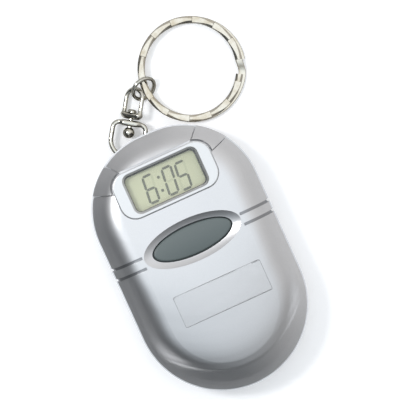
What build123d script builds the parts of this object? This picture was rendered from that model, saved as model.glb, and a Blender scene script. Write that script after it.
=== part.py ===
from build123d import *
import os
from math import asin, cos, degrees, radians, sin, sqrt

# A talking clock for a key chain: a pebble-shaped case in two shells with a
# display, one large talk button and two shoulder keys, and a swivel, a jump
# ring and a stamped split key ring on a lug at its upper end.
# All sizes are in millimetres. The clock lies on its back: the origin is the
# middle of the flat back, +Y runs to the key ring end and +Z to the display.

# Case
case_width = 43.5
case_length = 68.6
case_thickness = 16.0
crown_flat = 3.5
parting_height = 8.0
flank_radius = 7.4
back_radius = 5.5
wall = 1.6
parting_step = 0.35
lip_height = 0.8
lip_thickness = 0.8
lip_gap = 0.1
lip_root = 0.7
overrun = 1.0

# Two grooves round the waist
waist_below_talk = 0.5
groove_pitch = 2.8
groove_width = 0.75
groove_depth = 0.65
groove_off_dish = 0.1
groove_low = 2.4

# Display frame, lens and glass
bezel_from_top = 12.55
bezel_margin = 8.65
bezel_height = 12.15
bezel_corner = 4.0
bezel_thickness = 1.2
bezel_proud = 0.2
bezel_edge = 0.3
bezel_seat_gap = 0.12
bezel_shadow_gap = 0.35
shelf_width = 0.9
bezel_side = 3.45
bezel_rim = 1.275
window_corner = 1.5
window_slope = 0.5
lens_thickness = 0.9
lens_gap = 0.2
panel_side = 0.55
panel_overlap = 0.8
panel_margin = 0.3
panel_thickness = 1.2
panel_drop = 0.7
panel_ledge = 1.0

# Circuit board and what it carries
board_rise = 0.2
board_thickness = 1.0
board_inset = 3.3
board_over_leads = 2.5
board_boss_gap = 0.4
zebra_inset = 0.7
zebra_width = 1.4
zebra_setback = 0.3
chip_margin = 2.2
chip_height = 1.1
crystal_radius = 1.0
crystal_length = 6.0
crystal_x = 4.8
crystal_from_end = 6.9
capacitor_radius = 1.5
capacitor_length = 5.0
capacitor_x = -8.6
capacitor_from_end = 2.4
part_rise = 0.1

# Talk button in its dished recess
talk_below_bezel = 16.15
recess_margin = 8.75
recess_width = 10.9
recess_depth = 1.3
recess_ledge = 0.2
collar_wall = 1.2
collar_depth = 1.3
dish_side = 2.6
dish_rim = 1.85
button_gap = 0.3
button_drop = 0.1
button_crown = 12.0
button_edge = 0.45
button_flange = 0.7
button_flange_rim = 0.9
button_flange_gap = 0.3
pad_side = 4.4
pad_rim = 1.4

# Shoulder keys, given by the two lines that bound the right one
key_lower_rise = 1.65
key_lower_angle = 19.0
key_upper_inset = 4.1
key_upper_drop = 0.225
key_upper_angle = 46.0
key_reach_in = 4.5
key_reach_out = 12.0
key_push_angle = 40.0
key_low = 9.4
key_proud = 0.3
key_side_gap = 0.25
key_rim_gap = 0.55
key_wall = 2.6
key_flange_rim = 0.8
key_flange_gap = 0.2
key_flange_under = 0.1
key_stop_gap = 0.75

# Side switches that the keys press
switch_depth = 3.2
switch_width = 4.4
switch_height = 2.0
plunger_radius = 0.6
plunger_length = 0.6

# Case screws, board screws and the door screw
case_screw_margin = 5.2
case_screw_over_cells = 7.0
case_screw_end_margin = 5.4
case_screw_turn = 31.1
case_boss_radius = 2.25
case_screw_head_radius = 1.6
case_screw_head_height = 1.1
case_screw_sink = 2.0
case_screw_radius = 0.8
case_screw_length = 10.0
board_screw_margin = 8.25
board_screw_from_end = 6.5
board_screw_top_x = 6.2
board_screw_over_bezel = 7.55
board_boss_radius = 1.6
board_screw_head_radius = 1.2
board_screw_head_height = 0.7
board_screw_radius = 0.6
board_screw_length = 3.4
screw_clearance = 0.25
pilot_clearance = 0.05
head_clearance = 0.2
slot_width = 0.4
slot_depth = 0.45

# Battery box, cells, contacts and door
cells_over_speaker = 19.0
cell_share = 2 / 15
cell_height = 5.4
cell_space = 1.0
cell_gap = 0.35
cell_rim = 0.3
box_wall = 0.9
box_height = 6.8
contact_thickness = 0.3
contact_width = 3.0
contact_tab = 1.0
door_margin = 1.45
door_corner = 3.0
door_gap = 0.15
door_thickness = 1.0
door_tab_radius = 2.8
door_tab_over_door = 1.3
door_post_radius = 2.0
door_post_height = 4.2
door_screw_length = 4.0
door_screw_head_radius = 1.5
door_screw_head_height = 0.6

# Speaker behind its grille
speaker_from_end = 17.3
speaker_radius = 10.0
speaker_flange_width = 1.1
speaker_flange_height = 0.8
speaker_depth = 2.9
speaker_back_radius = 5.0
speaker_plate = 0.4
magnet_radius = 4.4
magnet_height = 1.6
gasket_thickness = 0.5
cone_thickness = 0.25
cone_neck_radius = 3.1
cone_rise = 1.8
cone_dome = 0.35
coil_wall = 0.25
coil_gap = 0.1
speaker_gap = 0.25
speaker_ring_wall = 1.0
speaker_ring_height = 2.2
grille_hole_radius = 0.65
grille_step = 3.0
grille_rings = 2
grille_first_count = 6
lead_radius = 0.25
lead_spread = 1.5
lead_slack = 1.3
lead_edge = 1.4
lead_bend = 0.9

# Lug for the swivel, moulded in a notch of the back shell
chain_height = 3.1
lug_x = -4.5
lug_from_top = 3.8
lug_thickness = 1.6
lug_hole_radius = 1.0
lug_front = 1.6
notch_clearance = 0.55
notch_depth = 1.7
notch_wall = 1.2
notch_ceiling = 0.8

# Swivel: bail, rivet and stirrup, leaning to the right of +Y
swivel_lean = 33.75
bail_wire = 1.25
bail_radius = 4.2
bail_bar_reach = 4.5
bail_corner = 1.7
eye_radius = 1.6
bail_eye_thickness = 1.4
swivel_gap = 0.25
stirrup_wire = 1.1
stirrup_radius = 2.5
stirrup_corner = 1.1
stirrup_length = 7.1
stirrup_roll = 41.0
stirrup_eye_thickness = 1.1
rivet_radius = 0.6
rivet_clearance = 0.05
rivet_head_radius = 1.2
rivet_head_height = 1.3
rivet_end_radius = 1.05
rivet_end_height = 0.6

# Jump ring and key ring, each a coil of two turns
jump_radius = 3.55
jump_width = 0.95
jump_height = 1.0
jump_heading = 18.0
jump_tilt = 45.0
link_arch_turn = 70.0
link_turn = 141.0
link_clearance = 0.48
key_link_across = 0.2
key_link_drop = 0.54
ring_radius = 13.5
ring_width = 1.9
ring_height = 1.6
ring_floor_gap = 0.05
ring_slit = 0.14
ring_cross_angle = 12.0
facet_count = 14
facet_bulge = 0.1
facet_notch = 0.45
facet_bow_share = 0.35

# Sizes and places that follow from the sizes above
top_corner_radius = (case_width - crown_flat) / 2
round_end_y = (case_width - case_length) / 2
corner_x = case_width / 2 - top_corner_radius
corner_y = case_length / 2 - top_corner_radius
bezel_y = case_length / 2 - bezel_from_top
bezel_width = case_width - 2 * bezel_margin
window_width = bezel_width - 2 * bezel_side
window_height = bezel_height - 2 * bezel_rim
panel_width = window_width + 2 * panel_side
panel_height = window_height + 2 * panel_overlap
talk_y = bezel_y - talk_below_bezel
waist_y = talk_y - waist_below_talk
recess_length = case_width - 2 * recess_margin
groove_start_x = recess_length / 2 + groove_off_dish
button_length = recess_length - 2 * dish_side
button_width = recess_width - 2 * dish_rim
key_lower_corner = (bezel_width / 2, bezel_y + key_lower_rise)
key_upper_corner = (
    bezel_width / 2 - key_upper_inset,
    bezel_y + bezel_height / 2 - key_upper_drop,
)
lug_y = case_length / 2 - lug_from_top
speaker_y = speaker_from_end - case_length / 2
battery_y = speaker_y + cells_over_speaker
cell_radius = case_width * cell_share
lip_outside = wall + parting_step + lip_gap
cell_pitch = 2 * cell_radius + cell_space
box_inner_width = cell_pitch + 2 * (cell_radius + cell_gap)
box_inner_height = 2 * (cell_radius + cell_gap)
door_width = box_inner_width + 2 * door_margin
door_height = box_inner_height + 2 * door_margin
door_tab_y = battery_y + door_height / 2 + door_tab_over_door
board_end_y = speaker_y + speaker_radius - board_over_leads
side_screw_x = case_width / 2 - case_screw_margin
side_screw_y = battery_y + case_screw_over_cells
end_screw_reach = case_width / 2 - case_screw_end_margin
end_screw_x = end_screw_reach * cos(radians(case_screw_turn))
end_screw_y = round_end_y - end_screw_reach * sin(radians(case_screw_turn))
case_screw_places = [
    (end_screw_x, end_screw_y),
    (-end_screw_x, end_screw_y),
    (side_screw_x, side_screw_y),
    (-side_screw_x, side_screw_y),
]
board_screw_x = case_width / 2 - board_screw_margin
board_screw_places = [
    (board_screw_x, board_end_y + board_screw_from_end),
    (-board_screw_x, board_end_y + board_screw_from_end),
    (board_screw_top_x, bezel_y + board_screw_over_bezel),
]
board_low = parting_height + board_rise
board_top = board_low + board_thickness
bezel_seat = case_thickness + bezel_proud - bezel_thickness
panel_top = bezel_seat - lens_thickness - panel_drop
panel_low = panel_top - panel_thickness
panel_y = bezel_y + window_height / 2 + panel_margin - panel_height / 2
recess_floor = case_thickness - recess_depth
collar_low = recess_floor - collar_depth
flange_top = collar_low - button_flange_gap
button_low = flange_top - button_flange
cell_low = wall + contact_thickness
cell_top = cell_low + cell_height
key_bottom = key_low + key_side_gap


def case_face(inset):
    """The outline of the case as a face, drawn in by inset all round."""
    half_width = case_width / 2 - inset
    corner_radius = top_corner_radius - inset
    top_y = case_length / 2 - inset
    with BuildSketch() as face:
        with BuildLine():
            CenterArc((0, round_end_y), half_width, 180, 180)
            Line((half_width, round_end_y), (half_width, corner_y))
            CenterArc((corner_x, corner_y), corner_radius, 0, 90)
            Line((corner_x, top_y), (-corner_x, top_y))
            CenterArc((-corner_x, corner_y), corner_radius, 90, 90)
            Line((-half_width, corner_y), (-half_width, round_end_y))
        make_face()
    return face.sketch


def front_form(inset):
    """Front half of the pebble, drawn in by inset and by the parting step."""
    with BuildPart() as form:
        with BuildSketch(Plane.XY.offset(parting_height)):
            add(case_face(inset + parting_step))
        extrude(amount=case_thickness - inset - parting_height)
        fillet(form.faces().sort_by(Axis.Z)[-1].edges(), flank_radius - inset)
    return form.part


def back_form(inset):
    """Back half of the pebble, drawn in by inset on every side."""
    with BuildPart() as form:
        with BuildSketch(Plane.XY.offset(inset)):
            add(case_face(inset))
        extrude(amount=parting_height - inset)
        fillet(form.faces().sort_by(Axis.Z)[0].edges(), back_radius - inset)
    return form.part


def mirrored(part):
    """The same part on the other side of the case."""
    return mirror(part, about=Plane.YZ, mode=Mode.PRIVATE)


# The solids of the case that its shells, keys and grooves are cut from
front_outer = front_form(0)
front_cavity = front_form(wall)
front_middle = front_form(wall / 2)
back_outer = back_form(0)
back_cavity = back_form(wall)
back_middle = back_form(wall / 2)
front_groove_root = front_form(groove_depth)
back_groove_root = back_form(groove_depth)

# Waist grooves: rounded slots that go as deep as groove_depth into the skin
with BuildPart() as grooves:
    with BuildSketch(Plane.XY.offset(groove_low)):
        groove_length = case_width / 2 - groove_start_x + 2 * overrun
        groove_x = groove_start_x + groove_length / 2
        with Locations((groove_x, waist_y), (-groove_x, waist_y)):
            with GridLocations(0, groove_pitch, 1, 2):
                SlotOverall(groove_length, groove_width)
    extrude(amount=case_thickness)
    add(front_groove_root, mode=Mode.SUBTRACT)
    add(back_groove_root, mode=Mode.SUBTRACT)


def key_region(margin, rim_gap):
    """The right key's place as a face, grown by margin, rim_gap off the bezel."""
    corners = []
    for (x, y), angle in (
        (key_lower_corner, key_lower_angle),
        (key_upper_corner, key_upper_angle),
    ):
        run_x = cos(radians(angle))
        run_y = sin(radians(angle))
        corners.append((x - key_reach_in * run_x, y - key_reach_in * run_y))
        corners.append((x + key_reach_out * run_x, y + key_reach_out * run_y))
    with BuildSketch() as region:
        with BuildLine():
            Polyline(corners[0], corners[1], corners[3], corners[2], close=True)
        make_face()
        if margin:
            offset(amount=margin, kind=Kind.INTERSECTION)
        with Locations((0, bezel_y)):
            RectangleRounded(
                bezel_width + 2 * rim_gap,
                bezel_height + 2 * rim_gap,
                bezel_corner + rim_gap,
                mode=Mode.SUBTRACT,
            )
    return region.sketch


# Right key: a proud skin over the shoulder, with a flange behind the shell
key_outer = front_form(-key_proud)
key_inner = front_form(key_wall)
key_flange_outer = front_form(wall + key_flange_gap)

with BuildPart() as key_flange:
    with BuildSketch(Plane.XY.offset(key_bottom)):
        add(key_region(key_flange_rim, -key_flange_under))
    extrude(amount=case_thickness)
    add(key_flange_outer, mode=Mode.INTERSECT)
    add(key_inner, mode=Mode.SUBTRACT)

with BuildPart() as right_key:
    with BuildSketch(Plane.XY.offset(key_bottom)):
        add(key_region(-key_side_gap, key_rim_gap))
    extrude(amount=case_thickness)
    add(key_outer, mode=Mode.INTERSECT)
    add(key_inner, mode=Mode.SUBTRACT)
    add(key_flange.part)

with BuildPart() as left_key:
    add(mirrored(right_key.part))

with BuildPart() as key_cutter:
    with BuildSketch(Plane.XY.offset(key_low)):
        add(key_region(0, bezel_seat_gap))
    extrude(amount=case_thickness)

# Bosses that hang from the front shell, for case screws and board screws
with BuildPart() as front_bosses:
    with BuildSketch(Plane.XY.offset(parting_height)):
        with Locations(*case_screw_places):
            Circle(case_boss_radius)
    extrude(amount=case_thickness)
    with BuildSketch(Plane.XY.offset(board_top)):
        with Locations(*board_screw_places):
            Circle(board_boss_radius)
    extrude(amount=case_thickness)
    add(front_middle, mode=Mode.INTERSECT)

# Front shell
with BuildPart() as front_shell:
    add(front_outer)
    add(front_cavity, mode=Mode.SUBTRACT)
    add(front_bosses.part)
    with BuildSketch(Plane.XY.offset(collar_low)):
        with Locations((0, talk_y)):
            Ellipse(
                button_length / 2 + button_gap + collar_wall,
                button_width / 2 + button_gap + collar_wall,
            )
    extrude(amount=collar_depth)
    # The dish that the button sits in, wider at the face than at its floor
    floor_x = button_length / 2 + button_gap + recess_ledge
    floor_y = button_width / 2 + button_gap + recess_ledge
    slope_x = (recess_length / 2 - floor_x) / recess_depth
    slope_y = (recess_width / 2 - floor_y) / recess_depth
    with BuildSketch(Plane.XY.offset(recess_floor)):
        with Locations((0, talk_y)):
            Ellipse(floor_x, floor_y)
    with BuildSketch(Plane.XY.offset(case_thickness + overrun)):
        with Locations((0, talk_y)):
            Ellipse(
                recess_length / 2 + overrun * slope_x,
                recess_width / 2 + overrun * slope_y,
            )
    loft(mode=Mode.SUBTRACT)
    with BuildSketch(Plane.XY.offset(collar_low)):
        with Locations((0, talk_y)):
            Ellipse(button_length / 2 + button_gap, button_width / 2 + button_gap)
    extrude(amount=case_thickness, mode=Mode.SUBTRACT)
    # The seat of the bezel, with its wider shadow gap along the upper edge
    with BuildSketch(Plane.XY.offset(bezel_seat)):
        with Locations((0, bezel_y), (0, bezel_y + bezel_shadow_gap)):
            RectangleRounded(
                bezel_width + 2 * bezel_seat_gap,
                bezel_height + 2 * bezel_seat_gap,
                bezel_corner + bezel_seat_gap,
            )
    extrude(amount=case_thickness, mode=Mode.SUBTRACT)
    with BuildSketch(Plane.XY.offset(parting_height)):
        with Locations((0, bezel_y)):
            RectangleRounded(
                bezel_width - 2 * shelf_width,
                bezel_height - 2 * shelf_width,
                bezel_corner - shelf_width,
            )
    extrude(amount=case_thickness, mode=Mode.SUBTRACT)
    add(key_cutter.part, mode=Mode.SUBTRACT)
    add(mirrored(key_cutter.part), mode=Mode.SUBTRACT)
    add(grooves.part, mode=Mode.SUBTRACT)
    # Pilot holes for the screws
    with BuildSketch(Plane.XY.offset(parting_height)):
        with Locations(*case_screw_places):
            Circle(case_screw_radius + pilot_clearance)
    extrude(
        amount=case_screw_sink + case_screw_length - parting_height + head_clearance,
        mode=Mode.SUBTRACT,
    )
    with BuildSketch(Plane.XY.offset(board_top)):
        with Locations(*board_screw_places):
            Circle(board_screw_radius + pilot_clearance)
    extrude(
        amount=board_screw_length - board_thickness + head_clearance,
        mode=Mode.SUBTRACT,
    )

# Posts, speaker ring and battery box that stand on the back shell's floor
grille_places = [(0, 0)]
for ring_number in range(1, grille_rings + 1):
    ring_count = grille_first_count * ring_number
    for step in range(ring_count):
        turn = radians(360 * step / ring_count)
        reach = ring_number * grille_step
        grille_places.append((reach * cos(turn), reach * sin(turn)))

floor_height = wall / 2
speaker_ring_radius = speaker_radius + speaker_gap

with BuildPart() as back_ribs:
    # The rim inside the wall that the lip stands on
    with BuildSketch(Plane.XY.offset(parting_height - lip_root)):
        add(case_face(wall / 2))
        add(case_face(lip_outside + lip_thickness), mode=Mode.SUBTRACT)
    extrude(amount=lip_root)
    with BuildSketch(Plane.XY.offset(floor_height)):
        with Locations(*case_screw_places):
            Circle(case_boss_radius)
    extrude(amount=parting_height - floor_height)
    with BuildSketch(Plane.XY.offset(floor_height)):
        with Locations((0, speaker_y)):
            Circle(speaker_ring_radius + speaker_ring_wall)
            Circle(speaker_ring_radius, mode=Mode.SUBTRACT)
    extrude(amount=wall + speaker_ring_height - floor_height)
    with BuildSketch(Plane.XY.offset(floor_height)):
        with Locations((0, battery_y)):
            RectangleRounded(
                box_inner_width + 2 * box_wall,
                box_inner_height + 2 * box_wall,
                door_corner,
            )
    extrude(amount=box_height - floor_height)
    with BuildSketch(Plane.XY.offset(floor_height)):
        with Locations((0, door_tab_y)):
            Circle(door_post_radius)
    extrude(amount=door_post_height)
    add(back_middle, mode=Mode.INTERSECT)

# The walls of the notch that the bail swings in
notch_half_width = bail_radius + bail_wire / 2 + notch_clearance
notch_y = lug_y - notch_depth
notch_length = case_length / 2 - notch_y + overrun
notch_top = parting_height - notch_ceiling

with BuildPart() as notch_block:
    with BuildSketch():
        with Locations((lug_x, notch_y - notch_wall)):
            Rectangle(
                2 * (notch_half_width + notch_wall),
                notch_length + notch_wall,
                align=(Align.CENTER, Align.MIN),
            )
    extrude(amount=parting_height)
    add(back_outer, mode=Mode.INTERSECT)

with BuildPart() as lug:
    with BuildSketch(Plane.YZ.offset(lug_x - lug_thickness / 2)):
        with Locations((lug_y, chain_height)):
            Circle(lug_hole_radius + lug_front)
        with Locations((notch_y - notch_wall / 2, chain_height)):
            Rectangle(
                lug_y - notch_y + notch_wall / 2,
                notch_top + notch_ceiling / 2 - chain_height,
                align=(Align.MIN, Align.MIN),
            )
        with Locations((lug_y, chain_height)):
            Rectangle(
                lug_hole_radius + lug_front,
                notch_top + notch_ceiling / 2 - chain_height,
                align=(Align.MIN, Align.MIN),
            )
            Rectangle(
                notch_depth + notch_wall / 2,
                lug_hole_radius + lug_front,
                align=(Align.MAX, Align.MAX),
            )
        with Locations((lug_y, chain_height)):
            Circle(lug_hole_radius, mode=Mode.SUBTRACT)
    extrude(amount=lug_thickness)
    add(back_outer, mode=Mode.INTERSECT)

# Back shell
with BuildPart() as back_shell:
    add(back_outer)
    add(back_cavity, mode=Mode.SUBTRACT)
    add(back_ribs.part)
    add(notch_block.part)
    with BuildSketch():
        with Locations((lug_x, notch_y)):
            Rectangle(
                2 * notch_half_width, notch_length, align=(Align.CENTER, Align.MIN)
            )
    extrude(amount=notch_top, mode=Mode.SUBTRACT)
    add(lug.part)
    # The lip that locates the front shell
    with BuildSketch(Plane.XY.offset(parting_height)):
        add(case_face(lip_outside))
    extrude(amount=lip_height)
    with BuildSketch(Plane.XY.offset(parting_height)):
        add(case_face(lip_outside + lip_thickness))
    extrude(amount=lip_height, mode=Mode.SUBTRACT)
    # Battery well, open to the back for its door
    with BuildSketch():
        with Locations((0, battery_y)):
            RectangleRounded(box_inner_width, box_inner_height, cell_gap)
    extrude(amount=case_thickness, mode=Mode.SUBTRACT)
    with BuildSketch():
        with Locations((0, battery_y)):
            RectangleRounded(door_width, door_height, door_corner)
        with Locations((0, door_tab_y)):
            Circle(door_tab_radius)
    extrude(amount=door_thickness, mode=Mode.SUBTRACT)
    add(grooves.part, mode=Mode.SUBTRACT)
    with Locations(*[Location((x, y, 0), (180, 0, 0)) for x, y in case_screw_places]):
        CounterBoreHole(
            case_screw_radius + screw_clearance,
            case_screw_head_radius + head_clearance,
            case_screw_sink,
        )
    with BuildSketch():
        with Locations((0, door_tab_y)):
            Circle(case_screw_radius + pilot_clearance)
    extrude(amount=door_screw_length + head_clearance, mode=Mode.SUBTRACT)
    with BuildSketch():
        with Locations(*[(x, speaker_y + y) for x, y in grille_places]):
            Circle(grille_hole_radius)
    extrude(amount=wall, mode=Mode.SUBTRACT)


def plate(width, height, corner, low, thickness, centre_y=0):
    """A flat plate with rounded corners, its lower face at low."""
    with BuildPart() as part:
        with BuildSketch(Plane.XY.offset(low)):
            with Locations((0, centre_y)):
                RectangleRounded(width, height, corner)
        extrude(amount=thickness)
    return part.part


def screws(places, head_low, head_radius, head_height, shank_radius, length):
    """Cross-slotted screws that run up from the plane of their heads."""
    with BuildPart() as part:
        with BuildSketch(Plane.XY.offset(head_low)):
            with Locations(*places):
                Circle(head_radius)
        extrude(amount=head_height)
        with BuildSketch(Plane.XY.offset(head_low)):
            with Locations(*places):
                Circle(shank_radius)
        extrude(amount=head_height + length)
        with BuildSketch(Plane.XY.offset(head_low)):
            with Locations(*places):
                Rectangle(2 * head_radius, slot_width)
                Rectangle(slot_width, 2 * head_radius)
        extrude(amount=slot_depth, mode=Mode.SUBTRACT)
    return part.part


# Display frame
with BuildPart() as lcd_bezel:
    add(plate(bezel_width, bezel_height, bezel_corner, bezel_seat, bezel_thickness, bezel_y))
    fillet(lcd_bezel.faces().sort_by(Axis.Z)[-1].edges(), bezel_edge)
    with BuildSketch(Plane.XY.offset(bezel_seat)):
        with Locations((0, bezel_y)):
            RectangleRounded(window_width, window_height, window_corner)
    extrude(amount=case_thickness, mode=Mode.SUBTRACT)
    window_edges = (
        lcd_bezel.faces().sort_by(Axis.Z)[-1].inner_wires()[0].edges()
    )
    chamfer(window_edges, window_slope)

# Clear lens under the frame, in the opening of the shelf
with BuildPart() as lcd_lens:
    add(
        plate(
            bezel_width - 2 * (shelf_width + lens_gap),
            bezel_height - 2 * (shelf_width + lens_gap),
            bezel_corner - shelf_width - lens_gap,
            bezel_seat - lens_thickness,
            lens_thickness,
            bezel_y,
        )
    )

# Display glass: two plates, the upper one set back to bare the contacts
with BuildPart() as lcd_panel:
    with BuildSketch(Plane.XY.offset(panel_low)):
        with Locations((0, panel_y)):
            Rectangle(panel_width, panel_height)
    extrude(amount=panel_thickness / 2)
    with BuildSketch(Plane.XY.offset(panel_low + panel_thickness / 2)):
        with Locations((0, panel_y + panel_ledge / 2)):
            Rectangle(panel_width, panel_height - panel_ledge)
    extrude(amount=panel_thickness / 2)

# Rubber contact strips between the board and the display glass
with BuildPart() as zebra_strips:
    with BuildSketch(Plane.XY.offset(board_top)):
        with Locations((0, panel_y)):
            with GridLocations(0, panel_height - zebra_width - 2 * zebra_setback, 1, 2):
                Rectangle(panel_width - 2 * zebra_inset, zebra_width)
    extrude(amount=panel_low - board_top)

# Circuit board, notched round the case bosses
with BuildPart() as circuit_board:
    with BuildSketch(Plane.XY.offset(board_low)):
        add(case_face(board_inset))
        with Locations((0, board_end_y)):
            Rectangle(
                case_width,
                case_length,
                align=(Align.CENTER, Align.MAX),
                mode=Mode.SUBTRACT,
            )
        with Locations(*case_screw_places):
            Circle(case_boss_radius + board_boss_gap, mode=Mode.SUBTRACT)
        with Locations(*board_screw_places):
            Circle(board_screw_radius + screw_clearance, mode=Mode.SUBTRACT)
    extrude(amount=board_thickness)

# Sealed chip under the display
with BuildPart() as chip_blob:
    with BuildSketch(Plane.XY.offset(board_top)):
        with Locations((0, panel_y)):
            Circle(panel_height / 2 - chip_margin)
    extrude(amount=chip_height)
    fillet(chip_blob.faces().sort_by(Axis.Z)[-1].edges(), chip_height - part_rise)

# Clock crystal and capacitor, lying on the board
with BuildPart() as crystal:
    crystal_plane = Plane.YZ.offset(crystal_x - crystal_length / 2)
    with BuildSketch(crystal_plane):
        with Locations(
            (board_end_y + crystal_from_end, board_top + part_rise + crystal_radius)
        ):
            Circle(crystal_radius)
    extrude(amount=crystal_length)

with BuildPart() as capacitor:
    capacitor_plane = Plane.YZ.offset(capacitor_x - capacitor_length / 2)
    with BuildSketch(capacitor_plane):
        with Locations(
            (board_end_y + capacitor_from_end, board_top + part_rise + capacitor_radius)
        ):
            Circle(capacitor_radius)
    extrude(amount=capacitor_length)

# Talk button: a long oval with a crowned top and a flange under the collar
with BuildPart() as talk_button:
    with BuildSketch(Plane.XY.offset(button_low)):
        with Locations((0, talk_y)):
            Ellipse(button_length / 2, button_width / 2)
    extrude(amount=case_thickness - button_drop - button_low)
    button_top = case_thickness - button_drop
    with Locations((0, talk_y, button_top - button_crown)):
        Cylinder(
            button_crown,
            button_length,
            rotation=(0, 90, 0),
            mode=Mode.INTERSECT,
        )
    fillet(talk_button.faces().sort_by(Axis.Z)[-1].edges(), button_edge)
    with BuildSketch(Plane.XY.offset(button_low)):
        with Locations((0, talk_y)):
            Ellipse(
                button_length / 2 + button_flange_rim,
                button_width / 2 + button_flange_rim,
            )
    extrude(amount=button_flange)

# Rubber pad that carries the button and closes the talk contact
with BuildPart() as talk_pad:
    with BuildSketch(Plane.XY.offset(board_top)):
        with Locations((0, talk_y)):
            Ellipse(button_length / 2 - pad_side, button_width / 2 - pad_rim)
    extrude(amount=button_low - board_top)

# Side switches: a box on the board whose plunger points at the key
push_x = cos(radians(key_push_angle))
push_y = sin(radians(key_push_angle))
plunger_tip = top_corner_radius - parting_step - key_wall - key_stop_gap
switch_face = plunger_tip - plunger_length
switch_plane = Plane(
    origin=(
        corner_x + switch_face * push_x,
        corner_y + switch_face * push_y,
        board_top + switch_height / 2,
    ),
    x_dir=(-push_y, push_x, 0),
    z_dir=(push_x, push_y, 0),
)

with BuildPart() as right_switch:
    with BuildSketch(switch_plane):
        Rectangle(switch_width, switch_height)
    extrude(amount=-switch_depth)
    with BuildSketch(switch_plane):
        Circle(plunger_radius)
    extrude(amount=plunger_length)

with BuildPart() as left_switch:
    add(mirrored(right_switch.part))

# Screws of the board and of the case
with BuildPart() as board_screws:
    add(
        screws(
            board_screw_places,
            board_low - board_screw_head_height,
            board_screw_head_radius,
            board_screw_head_height,
            board_screw_radius,
            board_screw_length,
        )
    )

with BuildPart() as case_screws:
    add(
        screws(
            case_screw_places,
            case_screw_sink - case_screw_head_height,
            case_screw_head_radius,
            case_screw_head_height,
            case_screw_radius,
            case_screw_length,
        )
    )


def cell(side):
    """A button cell: a can with a smaller cap, on its side of the box."""
    with BuildPart() as part:
        with BuildSketch(Plane.XY.offset(cell_low)):
            with Locations((side * cell_pitch / 2, battery_y)):
                Circle(cell_radius)
        extrude(amount=cell_height - cell_rim)
        with BuildSketch(Plane.XY.offset(cell_low)):
            with Locations((side * cell_pitch / 2, battery_y)):
                Circle(cell_radius - 2 * cell_rim)
        extrude(amount=cell_height)
    return part.part


def contact(side):
    """A spring strip on top of a cell, with a tab up to the board."""
    with BuildPart() as part:
        with BuildSketch(Plane.XY.offset(cell_top)):
            with Locations((side * cell_pitch / 2, battery_y)):
                Rectangle(contact_width, cell_radius * 2)
        extrude(amount=contact_thickness)
        with BuildSketch(Plane.XY.offset(cell_top)):
            with Locations((side * cell_pitch / 2, battery_y + cell_radius)):
                Rectangle(
                    contact_tab,
                    contact_thickness,
                    align=(Align.CENTER, Align.MAX),
                )
        extrude(amount=board_low - cell_top)
    return part.part


with BuildPart() as cell_left:
    add(cell(-1))

with BuildPart() as cell_right:
    add(cell(1))

with BuildPart() as positive_contact:
    add(contact(-1))

with BuildPart() as negative_contact:
    add(contact(1))

# Bridge under both cells, seated on the plug of the door
with BuildPart() as cell_bridge:
    add(
        plate(
            cell_pitch + cell_radius,
            contact_width,
            cell_rim,
            cell_low - contact_thickness,
            contact_thickness,
            battery_y,
        )
    )

# Door with a screw tab, and a plug that fills its opening in the floor
with BuildPart() as battery_door:
    with BuildSketch():
        with Locations((0, battery_y)):
            RectangleRounded(
                door_width - 2 * door_gap, door_height - 2 * door_gap, door_corner - door_gap
            )
        with Locations((0, door_tab_y)):
            Circle(door_tab_radius - door_gap)
            Circle(case_screw_radius + screw_clearance, mode=Mode.SUBTRACT)
    extrude(amount=door_thickness)
    with BuildSketch(Plane.XY.offset(door_thickness)):
        with Locations((0, battery_y)):
            RectangleRounded(
                box_inner_width - 2 * door_gap, box_inner_height - 2 * door_gap, cell_gap
            )
    extrude(amount=wall - door_thickness)
    with BuildSketch():
        with Locations((0, door_tab_y)):
            Circle(door_screw_head_radius + head_clearance)
    extrude(amount=door_screw_head_height, mode=Mode.SUBTRACT)

with BuildPart() as door_screw:
    add(
        screws(
            [(0, door_tab_y)],
            0,
            door_screw_head_radius,
            door_screw_head_height,
            case_screw_radius,
            door_screw_length - door_screw_head_height,
        )
    )

# Speaker, facing the grille: gasket, basket, magnet, cone and voice coil
gasket_top = wall + gasket_thickness
flange_inner = speaker_radius - speaker_flange_width
speaker_axis = Axis((0, speaker_y, 0), (0, 0, 1))
speaker_section = Plane(origin=(0, speaker_y, 0), x_dir=(1, 0, 0), z_dir=(0, -1, 0))
flange_high = gasket_top + speaker_flange_height
plate_high = gasket_top + speaker_depth
plate_low = plate_high - speaker_plate

with BuildPart() as speaker_gasket:
    with BuildSketch(Plane.XY.offset(wall)):
        with Locations((0, speaker_y)):
            Circle(speaker_radius)
            Circle(flange_inner, mode=Mode.SUBTRACT)
    extrude(amount=gasket_thickness)

with BuildPart() as speaker_basket:
    with BuildSketch(speaker_section):
        with BuildLine():
            Polyline(
                (speaker_radius, gasket_top),
                (speaker_radius, flange_high),
                (flange_inner + speaker_plate, flange_high),
                (speaker_back_radius, plate_high),
                (0, plate_high),
                (0, plate_low),
                (speaker_back_radius - speaker_plate / 2, plate_low),
                (flange_inner, flange_high - speaker_plate / 2),
                (flange_inner, gasket_top),
                close=True,
            )
        make_face()
    revolve(axis=speaker_axis)

with BuildPart() as speaker_magnet:
    with BuildSketch(Plane.XY.offset(plate_high)):
        with Locations((0, speaker_y)):
            Circle(magnet_radius)
    extrude(amount=magnet_height)

cone_high = gasket_top + cone_rise
with BuildPart() as speaker_cone:
    with BuildSketch(speaker_section):
        with BuildLine():
            Polyline(
                (flange_inner, gasket_top),
                (flange_inner, gasket_top + cone_thickness),
                (cone_neck_radius, cone_high),
                (0, cone_high - cone_dome),
                (0, cone_high - cone_dome - cone_thickness),
                (cone_neck_radius - cone_thickness, cone_high - cone_thickness),
                (flange_inner - 2 * cone_thickness, gasket_top),
                close=True,
            )
        make_face()
    revolve(axis=speaker_axis)

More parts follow.
